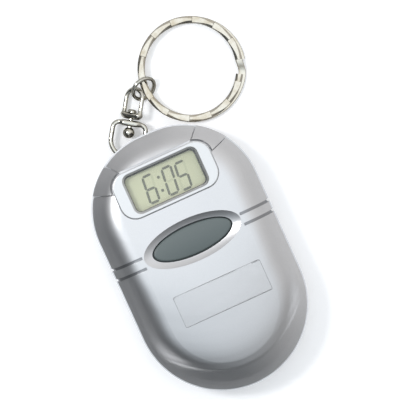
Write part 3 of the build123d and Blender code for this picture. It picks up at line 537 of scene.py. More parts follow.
class Effects:
    """The shader node groups that several finishes share, built once."""

    def __init__(self) -> None:
        """Builds every shared effect."""
        self.grain = self.build_grain()
        self.flake = self.build_flake()
        self.handling = self.build_handling()
        self.crown = self.build_crown()
        self.flare = self.build_flare()
        self.slots = self.build_groove_shade()

    def start(
        self, name: str, takes: dict[str, tuple[Socket, object]], gives: dict[str, Socket]
    ) -> tuple[bpy.types.ShaderNodeTree, Sequence, Sequence]:
        """Starts a shader node group with named sockets.

        Args:
            name: the group's name.
            takes: for each input besides the place, its kind and default value.
            gives: for each output, its kind.

        Returns:
            The group, what it is given, and the inputs of its end.
        """
        group = bpy.data.node_groups.new(name, "ShaderNodeTree")
        face = group.interface
        face.new_socket("Place", in_out="INPUT", socket_type=Socket.VECTOR.value)
        for label, (kind, value) in takes.items():
            socket = face.new_socket(label, in_out="INPUT", socket_type=kind.value)
            socket.default_value = value
        for label, kind in gives.items():
            face.new_socket(label, in_out="OUTPUT", socket_type=kind.value)
        given = group.nodes.new("NodeGroupInput").outputs
        return group, given, group.nodes.new("NodeGroupOutput").inputs

    def build_grain(self) -> bpy.types.ShaderNodeTree:
        """Fine grain: a height and a roughness that varies with it."""
        takes = {"Scale": 1000.0, "Low": 0.3, "High": 0.4}
        group, given, end = self.start(
            "fine_grain",
            {label: (Socket.NUMBER, value) for label, value in takes.items()},
            {"Height": Socket.NUMBER, "Roughness": Socket.NUMBER},
        )
        noise = grown(
            group,
            "ShaderNodeTexNoise",
            {"Vector": given["Place"], "Scale": given["Scale"], "Detail": GRAIN_DETAIL},
        ).outputs[0]
        group.links.new(noise, end["Height"])
        spread = ranged(group, noise, *GRAIN_SPAN, given["Low"], given["High"])
        group.links.new(spread, end["Roughness"])
        return group

    def build_flake(self) -> bpy.types.ShaderNodeTree:
        """Metal flake in paint: specks that are a little darker."""
        group, given, end = self.start(
            "paint_flake",
            {
                "Colour": (Socket.COLOUR, (0.8, 0.8, 0.8, 1.0)),
                "Flakes per metre": (Socket.NUMBER, 6000.0),
                "Amount": (Socket.NUMBER, 0.1),
            },
            {"Colour": Socket.COLOUR},
        )
        cells = grown(
            group,
            "ShaderNodeTexVoronoi",
            {"Vector": given["Place"], "Scale": given["Flakes per metre"]},
        )
        single = grown(group, "ShaderNodeSeparateColor", {0: cells.outputs["Color"]})
        dark = maths(group, "MULTIPLY", single.outputs[0], given["Amount"])
        colour = mixed(group, dark, given["Colour"], opaque(FLAKE_DARK))
        group.links.new(colour, end["Colour"])
        return group

    def build_handling(self) -> bpy.types.ShaderNodeTree:
        """Handling: broad soft patches where the colour has dulled."""
        group, given, end = self.start(
            "handling",
            {
                "Colour": (Socket.COLOUR, (0.8, 0.8, 0.8, 1.0)),
                "Dulled": (Socket.COLOUR, (0.6, 0.6, 0.6, 1.0)),
                "Patch scale": (Socket.NUMBER, 90.0),
                "Amount": (Socket.NUMBER, 0.2),
            },
            {"Colour": Socket.COLOUR},
        )
        noise = grown(
            group,
            "ShaderNodeTexNoise",
            {"Vector": given["Place"], "Scale": given["Patch scale"], "Detail": PATCH_DETAIL},
        ).outputs[0]
        spread = ranged(group, noise, *PATCH_SPAN, 0.0, given["Amount"])
        colour = mixed(group, spread, given["Colour"], given["Dulled"])
        group.links.new(colour, end["Colour"])
        return group

    def build_crown(self) -> bpy.types.ShaderNodeTree:
        """The soft crown of the case: how its faces fall towards the lower end."""
        group, given, end = self.start("case_crown", {}, {"Height": Socket.NUMBER})
        x, y, _ = split(group, given["Place"])
        bent = maths(group, "MULTIPLY", maths(group, "MULTIPLY", x, x), -CROWN_BEND / MM)
        level = maths(group, "ADD", y, bent)
        share = ranged(group, level, CROWN_END * MM, (CROWN_END + CROWN_REACH) * MM)
        total = sum(CROWN_DROPS)
        risen = 0.0
        spots = []
        for far, drop in zip(CROWN_FAR, (0.0, *CROWN_DROPS)):
            risen += drop
            spots.append((far / CROWN_REACH, risen / total))
        group.links.new(drawn_curve(group, share, spots), end["Height"])
        return group

    def build_flare(self) -> bpy.types.ShaderNodeTree:
        """The flare of the case's flank, which leans out more than a round edge."""
        group, given, end = self.start("case_flare", {}, {"Height": Socket.NUMBER})
        low, high = FLARE_HEIGHTS[0], FLARE_HEIGHTS[-1]
        share = ranged(group, split(group, given["Place"])[2], low * MM, high * MM)
        total = sum(FLARE_DROPS)
        left = total
        spots = []
        for height, drop in zip(FLARE_HEIGHTS, (0.0, *FLARE_DROPS)):
            left -= drop
            spots.append(((height - low) / (high - low), left / total))
        group.links.new(drawn_curve(group, share, spots), end["Height"])
        return group

    def build_groove_shade(self) -> bpy.types.ShaderNodeTree:
        """The waist grooves: how far a place lies in a groove, where painted shade darkens the
        colour.
        """
        group, given, end = self.start(
            "groove_grime",
            {"Colour": (Socket.COLOUR, (0.8, 0.8, 0.8, 1.0))},
            {"Colour": Socket.COLOUR},
        )
        x, y, _ = split(group, given["Place"])
        off_waist = maths(group, "ABSOLUTE", maths(group, "SUBTRACT", y, WAIST_Y * MM))
        off_line = maths(
            group, "ABSOLUTE", maths(group, "SUBTRACT", off_waist, GROOVE_PITCH / 2 * MM)
        )
        near, far = (GROOVE_WIDTH * share * MM for share in GROOVE_SHADE_SHARES)
        inside = ranged(group, off_line, near, far, 1.0, 0.0)
        first, full = ((GROOVE_START + run) * MM for run in GROOVE_SHADE_RUNS)
        begun = ranged(group, maths(group, "ABSOLUTE", x), first, full, 0.0, GROOVE_SHADE_COVER)
        cover = maths(group, "MULTIPLY", inside, begun)
        # Painted shade: the colour darkens inside each groove, once past the groove's start
        colour = mixed(group, cover, given["Colour"], opaque(GROOVE_SHADE_COLOUR))
        group.links.new(colour, end["Colour"])
        return group


@dataclass(frozen=True)
class Finish:
    """One finish of the clock: its colours, its gloss and its fine texture."""

    name: str
    slot: str
    colour: Colour
    dulled: Colour
    metallic: float
    rough: Flat
    grain_scale: float
    grain_height: float = 0.02
    stretch: Point = (1.0, 1.0, 1.0)
    flakes: float = 0.0
    flake_scale: float = 9000.0
    patch_scale: float = 90.0
    patches: float = 0.3
    coat: float = 0.0
    coat_roughness: float = 0.12
    ior: float = 1.5
    grain_strength: float = 0.5

    def material(self, effects: Effects) -> bpy.types.Material:
        """The finish as a material.

        Args:
            effects: the shared shader groups.

        Returns:
            The material, with its pattern in object coordinates.
        """
        made = bpy.data.materials.new(self.name)
        made.use_nodes = True
        tree = made.node_tree
        shader = tree.nodes["Principled BSDF"].inputs
        shader["Metallic"].default_value = self.metallic
        shader["Coat Weight"].default_value = self.coat
        shader["Coat Roughness"].default_value = self.coat_roughness
        shader["IOR"].default_value = self.ior
        stretched = {"Vector": object_place(tree), "Scale": self.stretch}
        place = grown(tree, "ShaderNodeMapping", stretched).outputs[0]
        handled = {
            "Colour": opaque(self.colour),
            "Dulled": opaque(self.dulled),
            "Patch scale": self.patch_scale,
            "Amount": self.patches,
        }
        colour = shared(tree, effects.handling, place, handled)["Colour"]
        grained = {"Scale": self.grain_scale, "Low": self.rough[0], "High": self.rough[1]}
        grain = shared(tree, effects.grain, place, grained)
        if self.flakes:
            flaked = {
                "Colour": colour,
                "Flakes per metre": self.flake_scale,
                "Amount": self.flakes,
            }
            colour = shared(tree, effects.flake, place, flaked)["Colour"]
        tree.links.new(colour, shader["Base Color"])
        tree.links.new(grain["Roughness"], shader["Roughness"])
        bump = grown(
            tree,
            "ShaderNodeBump",
            {
                "Height": grain["Height"],
                "Strength": self.grain_strength,
                "Distance": self.grain_height * MM,
            },
        )
        tree.links.new(bump.outputs[0], shader["Normal"])
        return made


@dataclass(frozen=True)
class CasePaint(Finish):
    """The paint of the case, which also carries the crown and the painted shade in the grooves.
    """

    def material(self, effects: Effects) -> bpy.types.Material:
        """The paint as a material, with the case's own large forms in it."""
        made = super().material(effects)
        tree = made.node_tree
        shader = tree.nodes["Principled BSDF"].inputs
        place = object_place(tree)
        # Painted shade in the waist grooves, laid over the paint's own colour
        unshaded = {"Colour": shader["Base Color"].links[0].from_socket}
        groove_shaded = shared(tree, effects.slots, place, unshaded)["Colour"]
        tree.links.new(groove_shaded, shader["Base Color"])
        broad = self.turned(tree, place, effects.crown, sum(CROWN_DROPS))
        flank = self.turned(tree, place, effects.flare, sum(FLARE_DROPS))
        face = ranged(tree, split(tree, place)[2], FACE_FROM * MM, FACE_FULL * MM)
        plain = grown(tree, "ShaderNodeNewGeometry", {}).outputs["Normal"]
        feeds = {0: face, 4: plain, 5: broad.outputs[0]}
        blend = grown(tree, "ShaderNodeMix", feeds, data_type="VECTOR")
        tree.links.new(blend.outputs[1], flank.inputs["Normal"])
        fine = shader["Normal"].links[0].from_node
        tree.links.new(flank.outputs[0], fine.inputs["Normal"])
        return made

    def turned(
        self,
        tree: bpy.types.NodeTree,
        place: bpy.types.NodeSocket,
        effect: bpy.types.ShaderNodeTree,
        depth: float,
    ) -> bpy.types.Node:
        """A bump node that turns the surface by a broad form of a given depth."""
        height = shared(tree, effect, place, {})["Height"]
        feeds = {"Height": height, "Strength": 1.0, "Distance": depth * MM}
        return grown(tree, "ShaderNodeBump", feeds)


@dataclass(frozen=True)
class SideShadedMetal(Finish):
    """Plated metal with painted shade on its sides, as if its walls reflected dark surroundings.
    """

    # The colour of the painted shade on the sides, and how much of it a full wall takes
    side: Colour = (0.10, 0.09, 0.06)
    side_shade_amount: float = 0.9

    def material(self, effects: Effects) -> bpy.types.Material:
        """The metal as a material, with painted shade on its sides by the share marked on the
        piece.
        """
        made = super().material(effects)
        tree = made.node_tree
        base = tree.nodes["Principled BSDF"].inputs["Base Color"]
        tone = grown(tree, "ShaderNodeAttribute", {}, attribute_name="tone")
        share = maths(tree, "MULTIPLY", tone.outputs["Fac"], self.side_shade_amount)
        colour = mixed(tree, share, base.links[0].from_socket, opaque(self.side))
        tree.links.new(colour, base)
        return made


@dataclass(frozen=True)
class Clear:
    """A clear finish: the window of the display, or the film of the label."""

    name: str
    slot: str
    tint: Colour
    cover: float
    roughness: float
    ior: float = 1.5
    smear_scale: float = 160.0
    smear: float = 2.5

    def material(self, effects: Effects) -> bpy.types.Material:
        """The clear finish as a material that mostly shows what it covers."""
        made = bpy.data.materials.new(self.name)
        made.use_nodes = True
        tree = made.node_tree
        shader = tree.nodes["Principled BSDF"].inputs
        shader["Base Color"].default_value = opaque(self.tint)
        shader["Alpha"].default_value = self.cover
        shader["IOR"].default_value = self.ior
        smeared = {
            "Scale": self.smear_scale,
            "Low": self.roughness,
            "High": self.roughness * self.smear,
        }
        smear = shared(tree, effects.grain, object_place(tree), smeared)
        tree.links.new(smear["Roughness"], shader["Roughness"])
        return made


Outfit = dict[str, Finish | Clear]

# Each finish: its name and slot, its colour and dulled colour, then metallic,
# the span of its roughness, the grain's scale and at times the grain's height
SILVER_PAINT = CasePaint(
    "silver_paint", "case_silver", (0.605, 0.60, 0.605), (0.57, 0.565, 0.575),
    0.95, (0.33, 0.38), 2600.0, 0.006, flakes=0.07, patches=0.2, coat=0.15,
)
BEZEL_PAINT = Finish(
    "bezel_paint", "bezel_silver", (0.66, 0.66, 0.66), (0.63, 0.63, 0.63),
    0.75, (0.28, 0.34), 2600.0, 0.006, flakes=0.05, patches=0.2, coat=0.15,
)
BUTTON_GREY = Finish(
    "button_grey", "button_grey", (0.112, 0.137, 0.137), (0.135, 0.158, 0.156),
    0.0, (0.38, 0.48), 3200.0, 0.03, patches=0.4,
)
DISPLAY = Finish(
    "display_film", "display_glass", (0.57, 0.585, 0.385), (0.60, 0.61, 0.42),
    0.0, (0.30, 0.36), 4000.0, 0.004, patch_scale=50.0,
)
NICKEL = SideShadedMetal(
    "nickel_plate", "nickel", (0.62, 0.60, 0.54), (0.46, 0.42, 0.33),
    1.0, (0.10, 0.20), 1300.0, patch_scale=240.0, patches=0.5,
)
STAMPED_NICKEL = SideShadedMetal(
    "stamped_nickel", "nickel", (0.66, 0.62, 0.54), (0.48, 0.41, 0.30),
    1.0, (0.14, 0.24), 800.0, 0.045, patch_scale=420.0, patches=0.85,
)
STEEL = Finish(
    "screw_steel", "steel", (0.55, 0.55, 0.57), (0.38, 0.37, 0.36),
    1.0, (0.25, 0.4), 3000.0, patch_scale=400.0,
)
CELL_STEEL = Finish(
    "cell_steel", "cell_steel", (0.68, 0.68, 0.67), (0.5, 0.5, 0.49),
    1.0, (0.22, 0.34), 900.0, stretch=(1.0, 9.0, 1.0),
)
SPRING_METAL = Finish(
    "spring_metal", "spring_metal", (0.72, 0.66, 0.52), (0.52, 0.45, 0.34),
    1.0, (0.25, 0.38), 900.0, stretch=(9.0, 1.0, 1.0),
)
CAN_METAL = Finish(
    "can_metal", "can_metal", (0.7, 0.7, 0.72), (0.5, 0.5, 0.52), 1.0, (0.2, 0.32), 1600.0
)
COPPER = Finish(
    "copper_wire", "copper", (0.72, 0.34, 0.19), (0.42, 0.18, 0.10),
    1.0, (0.28, 0.4), 5000.0, stretch=(1.0, 1.0, 12.0),
)
MAGNET = Finish(
    "magnet_plate", "magnet", (0.30, 0.30, 0.32), (0.2, 0.2, 0.2), 0.9, (0.35, 0.5), 1400.0
)
BOARD = Finish(
    "board_mask", "board_green", (0.02, 0.14, 0.05), (0.03, 0.20, 0.08),
    0.0, (0.25, 0.4), 1200.0, patch_scale=500.0, patches=0.8, coat=0.3,
)
RESIN = Finish(
    "chip_resin", "black_resin", (0.012, 0.012, 0.014), (0.03, 0.03, 0.03),
    0.0, (0.12, 0.3), 500.0, 0.05,
)
SLEEVE = Finish(
    "capacitor_sleeve", "capacitor_sleeve", (0.02, 0.03, 0.09), (0.05, 0.06, 0.12),
    0.0, (0.3, 0.4), 700.0,
)
SWITCH_BLACK = Finish(
    "switch_black", "black_plastic", (0.018, 0.018, 0.02), (0.04, 0.04, 0.04),
    0.0, (0.4, 0.55), 2400.0,
)
RUBBER = Finish(
    "contact_rubber", "contact_rubber", (0.05, 0.05, 0.055), (0.09, 0.09, 0.09),
    0.0, (0.6, 0.8), 1800.0, 0.04,
)
FOAM = Finish(
    "gasket_foam", "foam_black", (0.03, 0.03, 0.032), (0.06, 0.06, 0.06),
    0.0, (0.85, 0.95), 3000.0, 0.15,
)
CONE_FILM = Finish(
    "cone_film", "cone_film", (0.20, 0.20, 0.19), (0.28, 0.27, 0.25),
    0.0, (0.3, 0.45), 800.0, coat=0.2,
)
LEAD_SLEEVE = Finish(
    "lead_sleeve", "lead_sleeve", (0.45, 0.03, 0.03), (0.3, 0.03, 0.03),
    0.0, (0.4, 0.5), 2000.0,
)
SEGMENT = Finish(
    "segment_dark", "display_glass", (0.105, 0.115, 0.075), (0.13, 0.14, 0.095),
    0.0, (0.4, 0.5), 4000.0, 0.003,
)
GHOST = Finish(
    "segment_ghost", "display_glass", (0.50, 0.515, 0.335), (0.52, 0.535, 0.36),
    0.0, (0.35, 0.45), 4000.0, 0.003,
)
# A dark line round the window, widened above and right as painted shadow of the window's wall
WINDOW_BORDER_SHADOW = Finish(
    "window_mask", "black_plastic", (0.022, 0.024, 0.022), (0.04, 0.042, 0.04),
    0.0, (0.3, 0.4), 2000.0, 0.004,
)
CLOTH = Finish(
    "grille_cloth", "foam_black", (0.02, 0.02, 0.022), (0.035, 0.035, 0.04),
    0.0, (0.8, 0.95), 6000.0, 0.08,
)
SEAL = Finish(
    "seal_rubber", "contact_rubber", (0.022, 0.03, 0.032), (0.04, 0.05, 0.05),
    0.0, (0.45, 0.6), 2400.0, 0.01,
)
WINDOW = Clear("clear_window", "clear_window", (0.9, 0.92, 0.9), 0.07, 0.03)
FILM = Clear("label_film", "clear_window", (0.9, 0.9, 0.9), 0.03, 0.3)
FILM_EDGE = Clear("film_edge", "clear_window", (0.55, 0.55, 0.57), 0.35, 0.4)


class Wardrobe:
    """Gives each finish its material, once, and puts it on pieces."""

    def __init__(self) -> None:
        """Builds the shared effects."""
        self.effects = Effects()
        self.made: dict[str, bpy.types.Material] = {}

    def get(self, finish: Finish | Clear) -> bpy.types.Material:
        """The material of a finish, made when it is first asked for."""
        if finish.name not in self.made:
            self.made[finish.name] = finish.material(self.effects)
        return self.made[finish.name]

    def dress_node(self, node: str, finish: Finish | Clear) -> None:
        """Gives a CAD node a finish on every one of its material slots."""
        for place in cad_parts[node].material_slots:
            place.material = self.get(finish)

    def dress_piece(
        self, piece: bpy.types.Object, finish: Finish | Clear, body: str, node: str = ""
    ) -> None:
        """Gives a new piece its finish and the body it rides on.

        Args:
            piece: the finished piece.
            finish: its finish.
            body: the name of the body that carries it.
            node: the CAD node that it replaces, if it is a better version of one.
        """
        piece.data.materials.clear()
        piece.data.materials.append(self.get(finish))
        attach(piece, body)
        if node:
            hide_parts(node)
        log.info("%s: %d faces on %s", piece.name, len(piece.data.polygons), body)


@dataclass
class Assembly:
    """A sub-assembly: what it adds to the solids, and the finishes its nodes wear."""

    wardrobe: Wardrobe
    finishes: ClassVar[Outfit] = {}

    def build(self) -> None:
        """Builds the pieces that the solids lack."""

    def dress(self) -> None:
        """Gives each of the sub-assembly's nodes its finish."""
        for node, finish in self.finishes.items():
            self.wardrobe.dress_node(node, finish)


@dataclass
class Case(Assembly):
    """The two shells, the shoulder keys, the case screws and the dish's lining."""

    finishes: ClassVar[Outfit] = {
        "front_shell": SILVER_PAINT,
        "back_shell": SILVER_PAINT,
        "left_key": SILVER_PAINT,
        "right_key": SILVER_PAINT,
        "battery_door": SILVER_PAINT,
        "case_screws": STEEL,
        "door_screw": STEEL,
        "board_screws": STEEL,
    }
    dish_length: float = 25.96
    dish_width: float = 10.86
    dish_y: float = 5.6
    hole_length: float = 21.56
    hole_width: float = 7.96
    dish_high: float = 15.99
    dish_low: float = 15.2
    lip: float = 0.05
    lip_share: float = 0.12
    root_high: float = 14.8
    back_high: float = 15.1
    back_share: float = 0.55
    sides: int = 120

    def build(self) -> None:
        """Builds the smooth lining of the dish, from its rim down to the button."""
        rows = (
            (1.0, self.dish_high), (self.lip_share, self.dish_low + self.lip),
            (0.0, self.dish_low), (0.0, self.root_high), (self.back_share, self.back_high),
        )
        outlines = []
        for share, height in rows:
            across = between(self.hole_length, self.dish_length, share) / 2
            along = between(self.hole_width, self.dish_width, share) / 2
            outlines.append((oval(across, along, self.dish_y, self.sides), height))
        lining = levels("dish_lining", outlines, closed=True)
        self.wardrobe.dress_piece(lining, SILVER_PAINT, "case")


@dataclass
class LabelFilm(Assembly):
    """The bare clear film on the lower front of the case."""

    width: float = 23.6
    height: float = 8.3
    corner: float = 0.5
    rim: float = 0.12
    centre: Flat = (1.3, -9.7)
    low: float = 16.0
    thickness: float = 0.05

    def build(self) -> None:
        """Builds the film with a greyer, less clear strip round its edge."""
        outer, inner = (
            rounded_outline(self.width - cut, self.height - cut, self.corner, 4, self.centre)
            for cut in (0.0, 2 * self.rim)
        )
        high = self.low + self.thickness
        film = slab("label_film", inner, self.low, high)
        self.wardrobe.dress_piece(film, FILM, "case")
        edge = flat_frame("label_film_edge", outer, inner, self.low, high)
        self.wardrobe.dress_piece(edge, FILM_EDGE, "case")


@dataclass
class Display(Assembly):
    """The display: its frame, window, dark line with painted shadow, glass and segments."""

    finishes: ClassVar[Outfit] = {
        "lcd_bezel": BEZEL_PAINT,
        "lcd_lens": WINDOW,
        "lcd_panel": DISPLAY,
        "zebra_strips": RUBBER,
    }
    rows: Tree
    centre_y: float = 21.75
    window_width: float = 19.3
    window_height: float = 9.6
    window_corner: float = 1.5
    # The dark line round the window; its width above and right is painted shadow of the window's
    # wall
    mask_side: float = 0.12
    mask_shade: float = 0.42
    mask_rim: float = 0.6
    mask_inset: float = 0.2
    glass_top: float = 13.4
    window_low: float = 14.1
    sheet: float = 0.02
    lit_lift: float = 0.03
    unlit_lift: float = 0.005
    digit_height: float = 7.4
    digit_width: float = 3.0
    stroke: float = 0.62
    gap: float = 0.06
    slant: float = 6.0
    digits: tuple[tuple[str, float, float], ...] = (
        ("acdefg", -4.2, 21.25),
        ("abcdef", 1.0, 21.2),
        ("acdfg", 4.5, 21.0),
    )
    colon: tuple[Flat, ...] = ((-1.3, 23.1), (-1.7, 19.7))
    dot: float = 0.72
    dot_corner: float = 0.18

    def build(self) -> None:
        """Builds the window's dark line with its painted shadow, the segments on the glass and
        the colon.
        """
        self.build_border_shadow()
        lit, unlit = self.segment_places()
        lit_low = self.glass_top + self.lit_lift
        self.build_segments("digits", lit, SEGMENT, lit_low)
        self.build_segments("ghost_digits", unlit, GHOST, self.glass_top + self.unlit_lift)
        dots = [
            slab(
                "dot",
                rounded_outline(self.dot, self.dot, self.dot_corner, 3, spot),
                lit_low,
                lit_low + self.sheet,
            )
            for spot in self.colon
        ]
        self.wardrobe.dress_piece(joined("colon", dots), SEGMENT, "case")

    def build_border_shadow(self) -> None:
        """Builds the dark line round the window: thin all round, wider above and right as painted
        shadow of the window's wall.
        """
        low = self.window_low - 2 * self.sheet
        rim = 2 * self.mask_rim
        shift = (self.mask_side - self.mask_shade) / 2
        trim = self.mask_side + self.mask_shade
        outer = rounded_outline(
            self.window_width + rim,
            self.window_height + rim,
            self.window_corner + self.mask_rim,
            centre=(0.0, self.centre_y),
        )
        inner = rounded_outline(
            self.window_width - trim,
            self.window_height - trim,
            self.window_corner - self.mask_inset,
            centre=(shift, self.centre_y + shift),
        )
        border_shadow = flat_frame("window_mask", outer, inner, low, low + self.sheet)
        self.wardrobe.dress_piece(border_shadow, WINDOW_BORDER_SHADOW, "case")

    def segment_places(self) -> tuple[list[tuple[float, ...]], list[tuple[float, ...]]]:
        """Where the segments lie, lit and unlit, as x, y, turn and length."""
        across = self.digit_width - self.stroke
        down = (self.digit_height - self.stroke) / 2
        half_w, half_h = across / 2, down
        spots = {
            "a": (0.0, half_h, 0.0, across),
            "g": (0.0, 0.0, 0.0, across),
            "d": (0.0, -half_h, 0.0, across),
            "f": (-half_w, half_h / 2, 90.0, down),
            "b": (half_w, half_h / 2, 90.0, down),
            "e": (-half_w, -half_h / 2, 90.0, down),
            "c": (half_w, -half_h / 2, 90.0, down),
        }
        lit, unlit = [], []
        for shown, x, y in self.digits:
            for name, (dx, dy, turn, length) in spots.items():
                lean = dy * sin(radians(self.slant))
                (lit if name in shown else unlit).append((x + dx + lean, y + dy, turn, length))
        return lit, unlit

    def segment_shape(self, length: float, upright: bool) -> bpy.types.Object:
        """One segment round the origin: a bar whose ends come to a point."""
        half, cut = length / 2 - self.gap, self.stroke / 2
        flat = half - cut
        ends = [(half, 0), (flat, cut), (-flat, cut), (-half, 0), (-flat, -cut), (flat, -cut)]
        if upright:
            lean = sin(radians(self.slant))
            ends = [(x, y - x * lean) for x, y in ends]
        return slab("segment_shape", ends, 0.0, self.sheet)

    def build_segments(
        self, name: str, spots: list[tuple[float, ...]], finish: Finish, low: float
    ) -> None:
        """Builds one set of segments from a shape set on its places.

        Args:
            name: the piece's name.
            spots: x, y, turn and length of each segment.
            finish: the finish of the set.
            low: the height of the segments' lower face.
        """
        parts = []
        for upright in (False, True):
            chosen = [s for s in spots if (s[2] == 90.0) == upright]
            if not chosen:
                continue
            shape = self.segment_shape(chosen[0][3], upright)
            points = bpy.data.meshes.new(name)
            points.from_pydata([(x * MM, y * MM, low * MM) for x, y, _, _ in chosen], [], [])
            turns = points.attributes.new("turn", "FLOAT", "POINT")
            turns.data.foreach_set("value", [radians(s[2]) for s in chosen])
            part = linked(name, points)
            values = {"Shape": shape, "Size": 1.0, "Material": self.wardrobe.get(finish)}
            self.rows.apply(part, values)
            bpy.data.objects.remove(shape)
            parts.append(part)
        self.wardrobe.dress_piece(joined(name, parts), finish, "case")


@dataclass
class TalkControl(Assembly):
    """The talk button, the dark seal round it and the rubber pad below it."""

    finishes: ClassVar[Outfit] = {
        "talk_button": BUTTON_GREY,
        "talk_pad": RUBBER,
    }
    centre_y: float = 5.6
    inner_length: float = 21.0
    inner_width: float = 7.4
    rim: float = 0.42
    low: float = 14.3
    high: float = 14.95
    crown: float = 0.06
    sides: int = 96

    def build(self) -> None:
        """Builds the seal that closes the gap between the button and the dish."""
        rows = (
            (0.0, self.low), (0.0, self.high), (0.5, self.high + self.crown),
            (1.0, self.high), (1.0, self.low),
        )
        outlines = []
        for share, height in rows:
            across = self.inner_length / 2 + share * self.rim
            along = self.inner_width / 2 + share * self.rim
            outlines.append((oval(across, along, self.centre_y, self.sides), height))
        seal = levels("talk_seal", outlines, closed=True)
        self.wardrobe.dress_piece(seal, SEAL, "case")


@dataclass
class Electronics(Assembly):
    """The circuit board and what it carries."""

    finishes: ClassVar[Outfit] = {
        "circuit_board": BOARD,
        "chip_blob": RESIN,
        "crystal": CAN_METAL,
        "capacitor": SLEEVE,
        "left_switch": SWITCH_BLACK,
        "right_switch": SWITCH_BLACK,
    }


@dataclass
class Power(Assembly):
    """The button cells, their contacts and bridge."""

    finishes: ClassVar[Outfit] = {
        "cell_left": CELL_STEEL,
        "cell_right": CELL_STEEL,
        "positive_contact": SPRING_METAL,
        "negative_contact": SPRING_METAL,
        "cell_bridge": SPRING_METAL,
    }


@dataclass
class Speaker(Assembly):
    """The speaker behind its grille, with the cloth that keeps dust out."""

    finishes: ClassVar[Outfit] = {
        "speaker_gasket": FOAM,
        "speaker_basket": SWITCH_BLACK,
        "speaker_magnet": MAGNET,
        "speaker_cone": CONE_FILM,
        "voice_coil": COPPER,
        "speaker_leads": LEAD_SLEEVE,
    }
    centre_y: float = -17.0
    cloth_radius: float = 8.7
    cloth_low: float = 1.65
    cloth_high: float = 1.8
    sides: int = 48

    def build(self) -> None:
        """Builds the cloth between the grille and the cone."""
        outline = oval(self.cloth_radius, self.cloth_radius, self.centre_y, self.sides)
        cloth = slab("grille_cloth", outline, self.cloth_low, self.cloth_high)
        self.wardrobe.dress_piece(cloth, CLOTH, "case")


